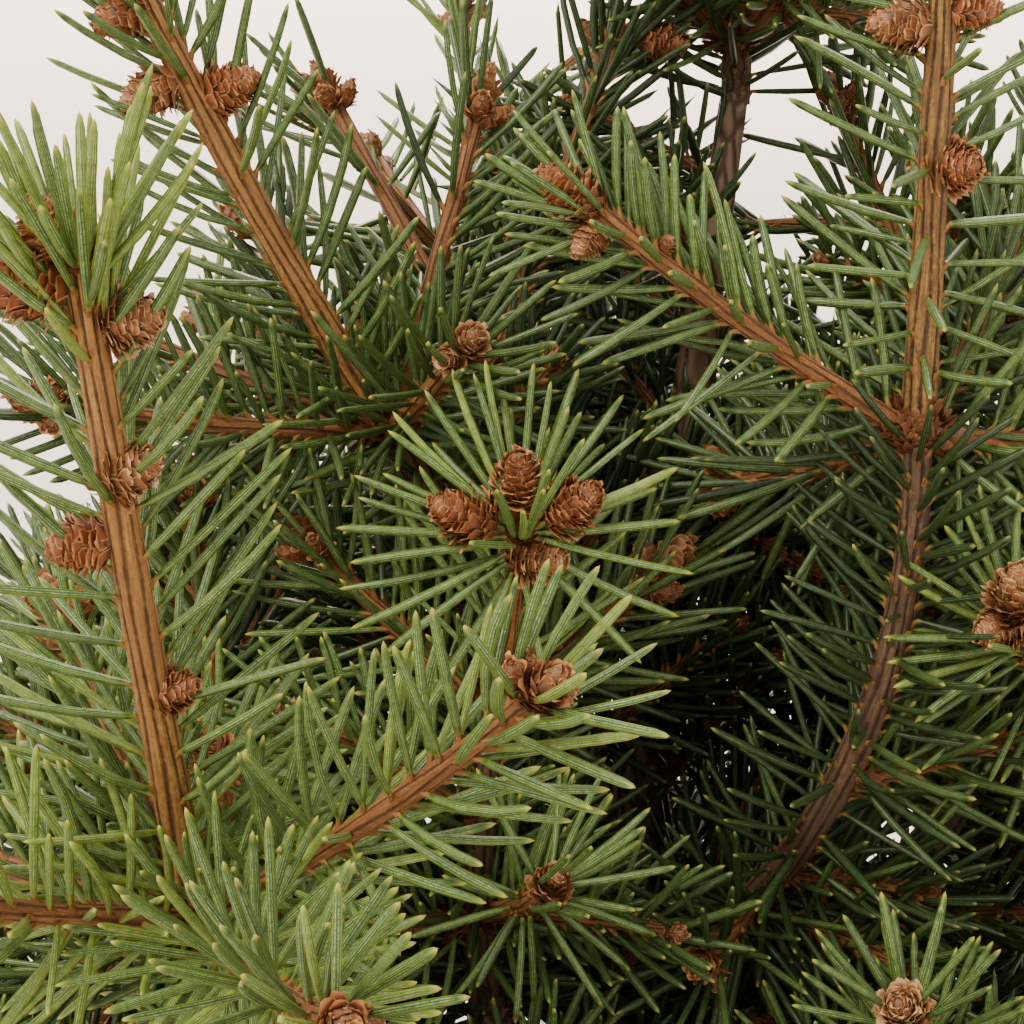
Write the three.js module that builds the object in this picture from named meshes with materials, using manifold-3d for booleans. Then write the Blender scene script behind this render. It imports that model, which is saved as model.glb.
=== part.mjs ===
// A small potted dwarf spruce: a plain clay pot, soil, one leaning trunk, tapering boughs, and a crown
// made of many masses of needled shoots.
// Millimetres, +Z up. The origin is under the middle of the pot's flat base, and -Y is the plant's front.

import * as THREE from "three";
import { mergeVertices } from "three/addons/utils/BufferGeometryUtils.js";
import Module from "manifold-3d";

// Clearance kept between two neighbouring pieces.
const GAP = 0.3;

// Edges shorter than this are closed up after joining.
const FINEST_EDGE = 0.02;

// Plain clay pot. Radii are of its outer face, up to the shoulder under the rim band.
const POT = {
  height: 125,
  baseRadius: 52,
  shoulderRadius: 71,
  rimRadius: 78,
  rimHeight: 24,
  rimRound: 2.5,
  wall: 6,
  floor: 8,
  footChamfer: 2,
  drainRadius: 4,
  drainCircle: 26,
  drainCount: 3,
  sides: 30,
  drainSides: 12,
};

// Soil: a low dome with a flat middle that the trunk stands on.
const SOIL = { flatHeight: 113, edgeHeight: 110, flatRadius: 16, sides: 24 };

// Trunk: from a flat cut on the soil up to the highest whorl, where the main leader goes on.
const TRUNK = {
  foot: SOIL.flatHeight + GAP,
  top: 329,
  leanX: 20,
  leanY: 25,
  straightShare: 0.35,
  footRadius: 10.5,
  neckRadius: 5.6,
  topRadius: 1.7,
  flareHeight: 13,
  flareLobes: 5,
  flareDepth: 0.14,
  sides: 10,
  rings: 10,
  ringCrowding: 1.4,
};

// Boughs and the stems of the masses.
const BOUGH = { footRadius: 3, tipRadius: 1.9, footShare: 0.72, sag: 0.1, sides: 5, rings: 3 };
const STEM = { footRadius: 1.9, tipRadius: 1.5, sunk: 1.5, sides: 3, rings: 2 };

// One shoot: a slim core with flat, pointed sprays of needles standing out of it.
const SHOOT = {
  coreFoot: 2.7,
  coreTip: 1.7,
  sides: 3,
  ringSpacing: 10.8,
  sag: 0.05,
  budLength: 5.5,
  sprayLength: 14,
  sprayAngle: 52,
  shorterSpray: 0.72,
  spraySamples: [0.3, 0.6, 0.85],
};

// The rule by which shoots are set: lengths in millimetres, angles in degrees.
const RULE = {
  seed: 41,
  leaderLength: 46,
  lengthSpread: 0.1,
  sideAngle: 50,
  angleSpread: 8,
  rollSpread: 16,
  sideRatio: 0.82,
  stemRatio: 0.62,
  tries: 5,
  shrink: 0.9,
  spacing: 9.2,
  limbSpacing: 4.6,
  sprayClearance: 0.3,
  siblingSpacing: 6.5,
};

// Places that shoots stay out of: the pot, and the open places through which the front shoots show.
const POT_SPACING = 3;
const SPRAY_POT_SPACING = 1;
const CROWN_FLOOR = 119;
const FRONT_OPENING = { x: -7, halfWidth: 62, y: -48, z: 234, slope: 0.45, from: -58 };
const DARK_HOLLOW = { low: [10, -54, 250], high: [33, -12, 292] };

// The masses at the front. A place is a turn about the pot's axis (degrees), a reach from it and a
// height. A shoot has a turn, a rise (degrees) and a length, and `along` when it leaves the stem
// before its whorl.
const FRONT = [
  {
    name: "right_leader", leaves: 212, bough: [-41, 19.8, 234], bend: [-54.6, 59.5, 268],
    whorl: [-49.6, 52.5, 301.7], extra: 0,
    shoots: [
      { turn: 70, rise: 83.9, length: 51 },
      { turn: -171.5, rise: 35.6, length: 41.5 },
      { turn: 19, rise: -4, length: 29 },
      { turn: 118, rise: -20, length: 38 },
      { turn: 62, rise: 26, length: 41 },
      { turn: -114.5, rise: -4, length: 17, along: 0.16 },
      { turn: -2, rise: 18, length: 26, along: 0.42 },
    ],
  },
  {
    name: "left_leader", leaves: 181, bough: [-114, 66, 243],
    whorl: [-115.5, 84.2, 264.3], extra: 2,
    shoots: [
      { turn: -109.8, rise: 74.8, length: 67 },
      { turn: -43.8, rise: 36.5, length: 54 },
      { turn: 153.2, rise: 5.9, length: 36 },
      { turn: -71.9, rise: 14, length: 54 },
      { turn: -143, rise: 20, length: 42 },
      { turn: 130, rise: 48, length: 32 },
    ],
  },
  {
    name: "centre", leaves: 203, bough: [-116.6, 22.4, 232], bend: [-112, 31, 249],
    whorl: [-108.4, 28.5, 268], extra: 1,
    shoots: [
      { turn: -80.8, rise: 53.5, length: 31.5 },
      { turn: 165, rise: 40, length: 27 },
      { turn: 24, rise: 34, length: 24 },
      { turn: -73, rise: 27, length: 29, along: 0.32 },
      { turn: -150, rise: 10, length: 25, along: 0.3 },
    ],
  },
  {
    name: "upper_left", leaves: 238, bough: [-147.3, 16.6, 283],
    whorl: [-139.5, 27, 297], extra: 2,
    shoots: [
      { turn: -161.7, rise: 61.9, length: 56 },
      { turn: 171.7, rise: 20, length: 40 },
      { turn: 52.1, rise: 64.5, length: 38 },
      { turn: 122, rise: 30, length: 38 },
    ],
  },
  {
    name: "behind", leaves: 262, whorl: [141.6, 12.2, 298.2], extra: 1,
    shoots: [
      { turn: 31.6, rise: 65.8, length: 43 },
      { turn: 139.5, rise: 50, length: 40 },
      { turn: -174, rise: 10, length: 24 },
    ],
  },
  {
    name: "right_edge", leaves: 195, bough: [-23.2, 45.7, 252],
    whorl: [-26.3, 58.7, 268.8], extra: 2,
    shoots: [
      { turn: -112.4, rise: 33.3, length: 31.7 },
      { turn: -7, rise: 35.4, length: 40 },
      { turn: 36.5, rise: 78, length: 42 },
      { turn: -58, rise: 4, length: 40 },
      { turn: 62, rise: 22, length: 42 },
    ],
  },
  {
    name: "bottom_right", leaves: 171, bough: [-42.1, 41.8, 212],
    whorl: [-44.4, 53.9, 225.7], extra: 2,
    shoots: [
      { turn: -107.1, rise: 44.8, length: 29.8 },
      { turn: -12.3, rise: 20, length: 38 },
      { turn: -80.8, rise: 6, length: 40 },
      { turn: -41.5, rise: 30, length: 43 },
    ],
  },
  {
    name: "mid_left", leaves: 190, bough: [-149, 35, 238],
    whorl: [-146.1, 46, 251.2], extra: 2,
    shoots: [
      { turn: -87, rise: 40.2, length: 29.9 },
      { turn: -178, rise: 34, length: 42 },
      { turn: 130.7, rise: 29.7, length: 41 },
      { turn: 116, rise: 76, length: 40 },
    ],
  },
];

// The rest of the crown: tiers of boughs, each bough with one mass at its end. Bough i of a tier turns
// to `first` + i * `step` and leaves the trunk up to `stagger` above `leaves`, in golden shares of it. A
// tier with no `reach` has masses that grow straight from the trunk. `TIER_SPREAD` is how far places vary.
const GOLDEN_SHARE = 0.382;
const TIER_SPREAD = { climb: 0.6, reach: 3, whorlReach: 4, rise: 6 };
const TIERS = [
  {
    name: "low", count: 7, first: -76, step: 51.4, leaves: 127, stagger: 23,
    reach: 56, height: 145, whorlReach: 77, whorlHeight: 156, rise: 16, sway: 6, extra: 9,
  },
  {
    name: "lower", count: 6, first: -98, step: 60, leaves: 152, stagger: 18,
    reach: 48, height: 184, whorlReach: 68, whorlHeight: 205, rise: 34, sway: 5, extra: 9,
  },
  {
    name: "upper", count: 5, first: 8, step: 42, leaves: 208, stagger: 19,
    reach: 40, height: 240, whorlReach: 55, whorlHeight: 261, rise: 48, sway: 4, extra: 9,
  },
  {
    name: "high", count: 2, first: 12, step: 90, leaves: 276, stagger: 9,
    whorlReach: 46, whorlHeight: 300, rise: 60, sway: 3, extra: 7,
  },
];

// The mass that goes on from the top of the trunk.
const TOP_MASS = { name: "main_leader", turn: 60, rise: 86, stem: 5, length: 52, extra: 6 };

const CLAY = { color: 0xb9673f, roughness: 0.85, metalness: 0 };
const EARTH = { color: 0x3a2a1e, roughness: 1, metalness: 0 };
const BARK = { color: 0x8a5a36, roughness: 0.9, metalness: 0 };
const NEEDLES = { roughness: 0.55, metalness: 0 };
const NEEDLE_TONES = [0x4f7a3c, 0x466f3a, 0x5a8442, 0x3f6a3e];

const wasm = await Module();
wasm.setup();

const UP = new THREE.Vector3(0, 0, 1);
const radians = THREE.MathUtils.degToRad;
const segment = new THREE.Line3();
const nearest = new THREE.Vector3();

// Repeatable random numbers.
class Dice {
  constructor(seed) {
    this.state = seed >>> 0;
    for (let warm = 0; warm < 3; warm += 1) this.next();
  }

  next() {
    this.state = (Math.imul(this.state, 1664525) + 1013904223) >>> 0;
    return this.state / 4294967296;
  }

  around(spread) {
    return spread * (2 * this.next() - 1);
  }
}

// The middle line of a limb or shoot: one quadratic curve, with its samples and a ball round them.
class Axis {
  constructor(start, middle, end, steps = 6) {
    this.start = start;
    this.middle = middle;
    this.end = end;
    this.samples = [];
    for (let i = 0; i <= steps; i += 1) this.samples.push(this.at(i / steps));
    this.centre = this.at(0.5);
    this.ball = Math.max(...this.samples.map((sample) => sample.distanceTo(this.centre)));
  }

  get length() {
    return this.start.distanceTo(this.end);
  }

  at(t) {
    return new THREE.Vector3()
      .addScaledVector(this.start, (1 - t) ** 2)
      .addScaledVector(this.middle, 2 * t * (1 - t))
      .addScaledVector(this.end, t * t);
  }

  direction(t) {
    const first = this.middle.clone().sub(this.start).multiplyScalar(1 - t);
    const second = this.end.clone().sub(this.middle).multiplyScalar(t);
    return first.add(second).normalize();
  }

  // Distance of a point, or `limit` when the whole axis lies further off than that.
  distance(point, limit = Infinity) {
    if (point.distanceTo(this.centre) - this.ball >= limit) return limit;
    let best = limit;
    for (let i = 1; i < this.samples.length; i += 1) {
      segment.set(this.samples[i - 1], this.samples[i]);
      segment.closestPointToPoint(point, true, nearest);
      best = Math.min(best, nearest.distanceTo(point));
    }
    return best;
  }
}

// A unit vector from a turn about +Z and a rise above the horizontal.
function heading(turn, rise) {
  const level = Math.cos(radians(rise));
  return new THREE.Vector3(
    level * Math.cos(radians(turn)),
    level * Math.sin(radians(turn)),
    Math.sin(radians(rise)),
  );
}

// A point from its turn about the pot's axis, its reach from it and its height.
function place([turn, reach, height]) {
  return new THREE.Vector3(
    reach * Math.cos(radians(turn)),
    reach * Math.sin(radians(turn)),
    height,
  );
}

// Two unit vectors square to a direction. The three form a right-handed set.
function squareTo(direction) {
  const reference = Math.abs(direction.z) < 0.9 ? UP : new THREE.Vector3(1, 0, 0);
  const across = new THREE.Vector3().crossVectors(direction, reference).normalize();
  return [across, new THREE.Vector3().crossVectors(direction, across).normalize()];
}

// A direction turned by `angle` away from `main`, towards the side that `roll` picks.
function lean(main, angle, roll) {
  const [across, along] = squareTo(main);
  return main.clone().multiplyScalar(Math.cos(radians(angle)))
    .addScaledVector(across, Math.sin(radians(angle)) * Math.cos(radians(roll)))
    .addScaledVector(along, Math.sin(radians(angle)) * Math.sin(radians(roll)))
    .normalize();
}

// A curve that hangs a little below the straight way between its ends.
function sagging(start, end, sag, steps) {
  const middle = start.clone().lerp(end, 0.5);
  middle.z -= sag * start.distanceTo(end);
  return new Axis(start, middle, end, steps);
}

// The middle of the trunk at a height, and its radius there.
function trunkPoint(height) {
  const share = (height - TRUNK.foot) / (TRUNK.top - TRUNK.foot);
  const bend = TRUNK.straightShare * share + (1 - TRUNK.straightShare) * share * share;
  return new THREE.Vector3(TRUNK.leanX * bend, TRUNK.leanY * bend, height);
}

function trunkRadius(height) {
  const share = (height - TRUNK.foot) / (TRUNK.top - TRUNK.foot);
  const flare = Math.exp((2 * (TRUNK.foot - height)) / TRUNK.flareHeight);
  const stem = THREE.MathUtils.lerp(TRUNK.neckRadius, TRUNK.topRadius, share);
  return stem + (TRUNK.footRadius - TRUNK.neckRadius) * flare;
}

// A closed solid from triangles.
function solidOf(positions, indices) {
  return new wasm.Manifold(new wasm.Mesh({
    numProp: 3,
    vertProperties: new Float32Array(positions),
    triVerts: new Uint32Array(indices),
  }));
}

// A closed solid from one of the library's shapes, stood on its Y axis and turned up to +Z.
function uprightSolid(shape) {
  const geometry = shape.rotateX(Math.PI / 2);
  geometry.deleteAttribute("normal");
  geometry.deleteAttribute("uv");
  const merged = mergeVertices(geometry, 1e-4);
  return solidOf(merged.attributes.position.array, merged.index.array);
}

function geometryOf(solid) {
  const mesh = solid.getMesh();
  const geometry = new THREE.BufferGeometry();
  geometry.setAttribute("position", new THREE.BufferAttribute(mesh.vertProperties, 3));
  geometry.setIndex(new THREE.BufferAttribute(mesh.triVerts, 1));
  geometry.computeVertexNormals();
  return geometry;
}

// The largest body of a solid: loose scraps and hair-thin edges go, and a sealed hollow is filled.
function mainBody(solid) {
  const bodies = solid.simplify(FINEST_EDGE).decompose();
  bodies.sort((a, b) => b.volume() - a.volume());
  return bodies[0];
}

// Triangles through rings of equal size that follow each other, closed flat at both ends.
function loft(rings) {
  const count = rings[0].length;
  const last = (rings.length - 1) * count;
  const indices = [];
  for (let ring = 0; ring < rings.length - 1; ring += 1) {
    for (let side = 0; side < count; side += 1) {
      const a = ring * count + side;
      const b = ring * count + ((side + 1) % count);
      indices.push(a, b, b + count, a, b + count, a + count);
    }
  }
  for (let side = 1; side < count - 1; side += 1) {
    indices.push(0, side + 1, side, last, last + side, last + side + 1);
  }
  return solidOf(rings.flat().flatMap((point) => point.toArray()), indices);
}

// One ring of points round a direction.
function ringAt(centre, direction, radius, count, twist = 0) {
  const [across, along] = squareTo(direction);
  return Array.from({ length: count }, (_, side) => {
    const angle = twist + (2 * Math.PI * side) / count;
    return centre.clone()
      .addScaledVector(across, radius * Math.cos(angle))
      .addScaledVector(along, radius * Math.sin(angle));
  });
}

// A tapering limb along an axis.
function limb(axis, { sides, rings }, footRadius, tipRadius) {
  return loft(Array.from({ length: rings + 1 }, (_, ring) => {
    const t = ring / rings;
    const radius = THREE.MathUtils.lerp(footRadius, tipRadius, t);
    return ringAt(axis.at(t), axis.direction(t), radius, sides);
  }));
}

// The trunk, with its lobed root flare, or the same grown outwards by a clearance.
function trunkSolid(clearance = 0) {
  const heights = Array.from({ length: TRUNK.rings + 1 }, (_, ring) => {
    const share = (ring / TRUNK.rings) ** TRUNK.ringCrowding;
    return THREE.MathUtils.lerp(TRUNK.foot - clearance, TRUNK.top + clearance, share);
  });
  return loft(heights.map((height) => {
    const flare = Math.exp((2 * (TRUNK.foot - height)) / TRUNK.flareHeight);
    return Array.from({ length: TRUNK.sides }, (_, side) => {
      const angle = (2 * Math.PI * side) / TRUNK.sides;
      const lobe = 1 + TRUNK.flareDepth * flare * Math.cos(TRUNK.flareLobes * angle);
      const radius = trunkRadius(height) * lobe + clearance / Math.cos(Math.PI / TRUNK.sides);
      const centre = trunkPoint(Math.min(Math.max(height, TRUNK.foot), TRUNK.top));
      return new THREE.Vector3(
        centre.x + radius * Math.cos(angle),
        centre.y + radius * Math.sin(angle),
        height,
      );
    });
  }));
}

// The pot: one turned wall and floor, with drain holes off its middle.
function potSolid() {
  const { height, baseRadius, shoulderRadius, rimRadius, rimHeight, rimRound, floor } = POT;
  const shoulder = height - rimHeight;
  const profile = [
    [0, 0],
    [baseRadius - POT.footChamfer, 0],
    [baseRadius, POT.footChamfer],
    [shoulderRadius, shoulder],
    [rimRadius, shoulder],
    [rimRadius, height - rimRound],
    [rimRadius - rimRound, height],
    [potInner(height), height],
    [potInner(floor), floor],
    [0, floor],
  ].map(([radius, z]) => new THREE.Vector2(radius, z));
  const wallAndFloor = uprightSolid(new THREE.LatheGeometry(profile, POT.sides));
  const drains = Array.from({ length: POT.drainCount }, (_, hole) => {
    const turn = (360 * hole) / POT.drainCount + 30;
    const drill = new THREE.CylinderGeometry(POT.drainRadius, POT.drainRadius, 3 * floor, POT.drainSides);
    return uprightSolid(drill).translate(place([turn, POT.drainCircle, floor / 2]).toArray());
  });
  return wallAndFloor.subtract(wasm.Manifold.union(drains));
}

// The radius of the pot's inner face at a height.
function potInner(height) {
  const low = POT.baseRadius - POT.wall;
  const high = POT.rimRadius - POT.wall;
  return THREE.MathUtils.mapLinear(height, POT.floor, POT.height, low, high);
}

function soilSolid() {
  const { flatHeight, edgeHeight, flatRadius } = SOIL;
  const low = POT.floor + GAP;
  const profile = [
    [0, low],
    [potInner(low) - 2 * GAP, low],
    [potInner(edgeHeight) - 2 * GAP, edgeHeight],
    [flatRadius, flatHeight],
    [0, flatHeight],
  ].map(([radius, z]) => new THREE.Vector2(radius, z));
  return uprightSolid(new THREE.LatheGeometry(profile, SOIL.sides));
}

// The bough and the stem that one mass stands on. A mass with no bough starts at the trunk.
function mount({ name, leaves, bough, bend, whorl, aim, extra, shoots = [] }) {
  const foot = trunkPoint(leaves);
  const whorlPoint = place(whorl);
  if (!bough) {
    const stem = sagging(foot, whorlPoint, BOUGH.sag);
    return { name, leaves, stem, aim: aim ?? stem.direction(1), extra, named: shoots };
  }
  const tip = place(bough);
  const onward = bend ? place(bend).sub(tip).normalize() : sagging(foot, tip, BOUGH.sag).direction(1);
  const arm = new Axis(foot, tip.clone().addScaledVector(onward, -0.5 * foot.distanceTo(tip)), tip, 8);
  const start = tip.clone().addScaledVector(onward, GAP);
  const halfway = start.clone().addScaledVector(onward, 0.5 * start.distanceTo(whorlPoint));
  const stem = new Axis(start, bend ? place(bend) : halfway, whorlPoint);
  return { name, leaves, arm, stem, aim: aim ?? stem.direction(1), extra, named: shoots };
}

// One mass for each place of a tier.
function tierMasses(tier) {
  const dice = new Dice(RULE.seed + 7 * tier.leaves);
  return Array.from({ length: tier.count }, (_, i) => {
    const turn = tier.first + i * tier.step + dice.around(tier.sway);
    const rank = (i * GOLDEN_SHARE) % 1;
    const leaves = tier.leaves + tier.stagger * rank;
    const climb = TIER_SPREAD.climb * tier.stagger * (rank - 0.5);
    const reach = tier.reach + dice.around(TIER_SPREAD.reach);
    const bough = tier.reach && [turn, reach, tier.height + climb];
    const whorlTurn = turn + dice.around(tier.sway);
    const whorlReach = tier.whorlReach + dice.around(TIER_SPREAD.whorlReach);
    const whorl = [whorlTurn, whorlReach, tier.whorlHeight + climb];
    const aim = heading(turn, tier.rise + dice.around(TIER_SPREAD.rise));
    return mount({ name: `${tier.name}_${i + 1}`, leaves, bough, whorl, aim, extra: tier.extra });
  });
}

// The mass on the cut top of the trunk.
function topMass() {
  const { name, turn, rise, stem, length, extra } = TOP_MASS;
  const top = trunkPoint(TRUNK.top);
  const foot = top.clone().addScaledVector(UP, -STEM.sunk);
  const whorl = top.clone().addScaledVector(heading(turn, rise), stem);
  return {
    name, leaves: TRUNK.top, stem: sagging(foot, whorl, 0), aim: heading(turn, rise), extra,
    named: [{ turn, rise, length }],
  };
}

function isInside(point, { low, high }) {
  return point.toArray().every((value, i) => value > low[i] && value < high[i]);
}

// True where the pot stands in the way.
function meetsPot(point, spacing) {
  const overPot = Math.hypot(point.x, point.y) < POT.rimRadius + spacing;
  return point.z < (overPot ? POT.height + spacing : CROWN_FLOOR);
}

// True in the places that are kept open at the front.
function hidesFront(point) {
  const { x, halfWidth, y, z, slope, from } = FRONT_OPENING;
  const sill = z + slope * Math.max(0, from - point.y);
  const opening = point.y < y && point.z > sill && Math.abs(point.x - x) < halfWidth;
  return opening || isInside(point, DARK_HOLLOW);
}

function nearLimb(point, limbs, spacing, except) {
  if (point.z < TRUNK.top + spacing) {
    const centre = trunkPoint(Math.min(point.z, TRUNK.top));
    if (centre.distanceTo(point) < trunkRadius(centre.z) + spacing) return true;
  }
  const clear = BOUGH.footRadius + spacing;
  return limbs.some((arm) => arm !== except && arm.distance(point, clear) < clear);
}

// True when a shoot with this axis keeps its distance from every limb and shoot that is there.
function fits(axis, mass, crown) {
  const bud = axis.at(1).addScaledVector(axis.direction(1), SHOOT.budLength);
  return [...axis.samples, bud].every((point, i) => {
    if (meetsPot(point, POT_SPACING) || hidesFront(point)) return false;
    if (nearLimb(point, crown.arms, RULE.limbSpacing, i < 2 ? mass.arm : null)) return false;
    return crown.masses.every((other) => {
      const own = other === mass;
      if (!own && other.stem.distance(point, RULE.spacing) < RULE.spacing) return false;
      return (own && i < 3)
        || other.shoots.every((shoot) => shoot.distance(point, RULE.spacing) >= RULE.spacing);
    });
  });
}

function shootAxis(base, direction, length) {
  return sagging(base, base.clone().addScaledVector(direction, length), SHOOT.sag);
}

// Where the ruled shoots of a mass start and how they lean: first on the whorl, then along the stem.
function roles(mass) {
  const whorl = [45, 135, 225, 315].map((roll) => (
    { roll, angle: RULE.sideAngle, ratio: RULE.sideRatio }
  ));
  const stem = [[0.35, 0], [0.6, 180], [0.8, 90], [0.5, 270]].map(([along, roll]) => (
    { along, roll, angle: RULE.sideAngle + RULE.angleSpread, ratio: RULE.stemRatio }
  ));
  const leader = { roll: 0, angle: RULE.angleSpread, ratio: 1 };
  return [...(mass.named.length ? [] : [leader]), ...whorl, ...stem].slice(0, mass.extra);
}

// One ruled shoot, tried a few times, a little shorter and more turned each time.
function tryShoot(mass, role, dice, crown) {
  const base = role.along === undefined ? mass.stem.at(1) : mass.stem.at(role.along);
  const main = role.along === undefined ? mass.aim : mass.stem.direction(role.along);
  for (let attempt = 0; attempt < RULE.tries; attempt += 1) {
    const angle = role.angle + dice.around(RULE.angleSpread);
    const roll = role.roll + dice.around(RULE.rollSpread * (1 + attempt));
    const ratio = role.ratio * (1 + dice.around(RULE.lengthSpread)) * RULE.shrink ** attempt;
    const axis = shootAxis(base, lean(main, angle, roll), RULE.leaderLength * ratio);
    if (fits(axis, mass, crown)) {
      mass.shoots.push(axis);
      return;
    }
  }
}

// The whole skeleton: boughs, stems, the named shoots, and then the ruled ones.
function growCrown() {
  const masses = [...FRONT.map(mount), ...TIERS.flatMap(tierMasses), topMass()];
  const crown = { masses, arms: masses.filter((mass) => mass.arm).map((mass) => mass.arm) };
  for (const mass of masses) {
    mass.shoots = mass.named.map(({ turn, rise, length, along = 1 }) => (
      shootAxis(mass.stem.at(along), heading(turn, rise), length)
    ));
  }
  masses.forEach((mass, i) => {
    roles(mass).forEach((role, j) => {
      tryShoot(mass, role, new Dice(RULE.seed + 1009 * (i + 1) + 97 * (j + 1)), crown);
    });
  });
  return crown;
}

// How far a point is inside its own mass's space: half the way to the next mass, less its own.
function room(point, mass, crown) {
  const own = Math.min(...[mass.stem, ...mass.shoots].map((axis) => axis.distance(point)));
  const limit = own + 4 * RULE.sprayClearance;
  const others = crown.masses.filter((other) => other !== mass);
  const next = Math.min(...others.flatMap((other) => (
    [other.stem, ...other.shoots].map((axis) => axis.distance(point, limit))
  )));
  return (next - own) / 2;
}

// True when a spray has room in its mass's space and stands clear of its mass's other shoots.
function sprayFits(corners, apex, axis, mass, crown) {
  const siblings = [mass.stem, ...mass.shoots].filter((other) => other !== axis);
  if (siblings.some((other) => other.distance(apex) < RULE.siblingSpacing)) return false;
  const points = [apex];
  for (const corner of corners) {
    for (const share of SHOOT.spraySamples) points.push(corner.clone().lerp(apex, share));
  }
  return points.every((point) => (
    !meetsPot(point, SPRAY_POT_SPACING)
    && !nearLimb(point, crown.arms, RULE.sprayClearance + GAP, null)
    && room(point, mass, crown) >= RULE.sprayClearance
  ));
}

// One shoot: its twisted core, a pointed spray on each face where there is room, and a bud.
function shootSolid(axis, mass, crown) {
  const { sides, coreFoot, coreTip, ringSpacing, budLength, sprayLength, sprayAngle } = SHOOT;
  const ringCount = Math.max(2, Math.round(axis.length / ringSpacing));
  const rings = Array.from({ length: ringCount + 1 }, (_, ring) => {
    const t = ring / ringCount;
    const radius = THREE.MathUtils.lerp(coreFoot, coreTip, t);
    return ringAt(axis.at(t), axis.direction(t), radius, sides, (ring * Math.PI) / sides);
  });
  const points = rings.flat();
  const indices = [0, 2, 1];
  for (let ring = 0; ring < ringCount; ring += 1) {
    const t = (ring + 0.5) / ringCount;
    const centre = axis.at(t);
    const forward = axis.direction(t);
    for (let side = 0; side < sides; side += 1) {
      const a = ring * sides + side;
      const b = ring * sides + ((side + 1) % sides);
      const corners = [a, b, b + sides, a + sides];
      const outward = corners.reduce((sum, i) => sum.add(points[i]), new THREE.Vector3())
        .multiplyScalar(1 / corners.length).sub(centre).normalize();
      const apexAt = (length) => centre.clone()
        .addScaledVector(outward, length * Math.sin(radians(sprayAngle)))
        .addScaledVector(forward, length * Math.cos(radians(sprayAngle)));
      const apex = [1, SHOOT.shorterSpray].map((share) => apexAt(share * sprayLength))
        .find((point) => sprayFits(corners.map((i) => points[i]), point, axis, mass, crown));
      if (apex) {
        const tip = points.push(apex) - 1;
        corners.forEach((corner, i) => indices.push(corner, corners[(i + 1) % corners.length], tip));
      } else {
        indices.push(a, b, b + sides, a, b + sides, a + sides);
      }
    }
  }
  const bud = points.push(axis.at(1).addScaledVector(axis.direction(1), budLength)) - 1;
  for (let side = 0; side < sides; side += 1) {
    const last = ringCount * sides;
    indices.push(last + side, last + ((side + 1) % sides), bud);
  }
  return solidOf(points.flatMap((point) => point.toArray()), indices);
}

// A mass: its stem with all its shoots, cut clear of the trunk where no bough carries it.
function massSolid(mass, crown, trunkWithGap) {
  const { start, middle, end } = mass.stem;
  const beyond = end.clone().addScaledVector(mass.stem.direction(1), STEM.sunk);
  const footRadius = mass.arm ? STEM.footRadius : BOUGH.footShare * trunkRadius(mass.leaves);
  const stem = limb(new Axis(start, middle, beyond), STEM, footRadius, STEM.tipRadius);
  const shoots = mass.shoots.map((axis) => shootSolid(axis, mass, crown));
  const joined = wasm.Manifold.union([stem, ...shoots]);
  return mainBody(mass.arm ? joined : joined.subtract(trunkWithGap));
}

function boughSolid(mass, trunkWithGap) {
  const footRadius = Math.min(BOUGH.footRadius, BOUGH.footShare * trunkRadius(mass.leaves));
  return mainBody(limb(mass.arm, BOUGH, footRadius, BOUGH.tipRadius).subtract(trunkWithGap));
}

const plant = new THREE.Group();

function addPiece(name, solid, finish) {
  const mesh = new THREE.Mesh(geometryOf(solid), new THREE.MeshStandardMaterial(finish));
  mesh.name = name;
  plant.add(mesh);
}

const crown = growCrown();
const trunkWithGap = trunkSolid(GAP);

addPiece("pot", potSolid(), CLAY);
addPiece("soil", soilSolid(), EARTH);
addPiece("trunk", trunkSolid(), BARK);
for (const mass of crown.masses.filter(({ arm }) => arm)) {
  addPiece(`bough_${mass.name}`, boughSolid(mass, trunkWithGap), BARK);
}
crown.masses.forEach((mass, i) => {
  const finish = { ...NEEDLES, color: NEEDLE_TONES[i % NEEDLE_TONES.length] };
  addPiece(`needles_${mass.name}`, massSolid(mass, crown, trunkWithGap), finish);
});

export default plant;
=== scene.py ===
"""Looks of a small potted dwarf spruce: clay pot, soil, bark, and a crown of needled shoots.

The skeleton is grown by the same rule as the part's solids and then carried on to finer twigs.
Places are worked out in millimetres in the part's frame and go into meshes in metres.
"""

import sys

import logging
import math
from dataclasses import dataclass, field, fields
from enum import Enum

import bmesh
import bpy
import numpy as np
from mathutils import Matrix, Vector, noise


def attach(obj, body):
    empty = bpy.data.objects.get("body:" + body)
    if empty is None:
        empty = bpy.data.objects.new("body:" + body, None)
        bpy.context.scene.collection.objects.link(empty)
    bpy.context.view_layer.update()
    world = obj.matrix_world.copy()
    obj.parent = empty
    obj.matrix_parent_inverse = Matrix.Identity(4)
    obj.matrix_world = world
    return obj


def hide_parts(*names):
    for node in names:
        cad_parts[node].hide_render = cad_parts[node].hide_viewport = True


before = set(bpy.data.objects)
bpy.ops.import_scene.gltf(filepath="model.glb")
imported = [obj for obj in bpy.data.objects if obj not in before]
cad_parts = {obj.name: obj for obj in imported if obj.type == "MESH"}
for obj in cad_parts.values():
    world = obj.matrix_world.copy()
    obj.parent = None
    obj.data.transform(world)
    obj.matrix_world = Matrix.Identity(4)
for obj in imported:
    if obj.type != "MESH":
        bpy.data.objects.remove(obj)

log = logging.getLogger("spruce")

Array = np.ndarray
Pair = tuple[float, float]
Triple = tuple[float, float, float]
Colour = Triple

MM = 0.001
UP = np.array([0.0, 0.0, 1.0])
NO_QUADS = np.zeros((0, 4), int)
NO_TRIANGLES = np.zeros((0, 3), int)
GOLDEN_TURN = math.pi * (3.0 - math.sqrt(5.0))
FIBRE_MAP = "OFBake"
BODY = "root"


# ---- directions, curves and distances


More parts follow.
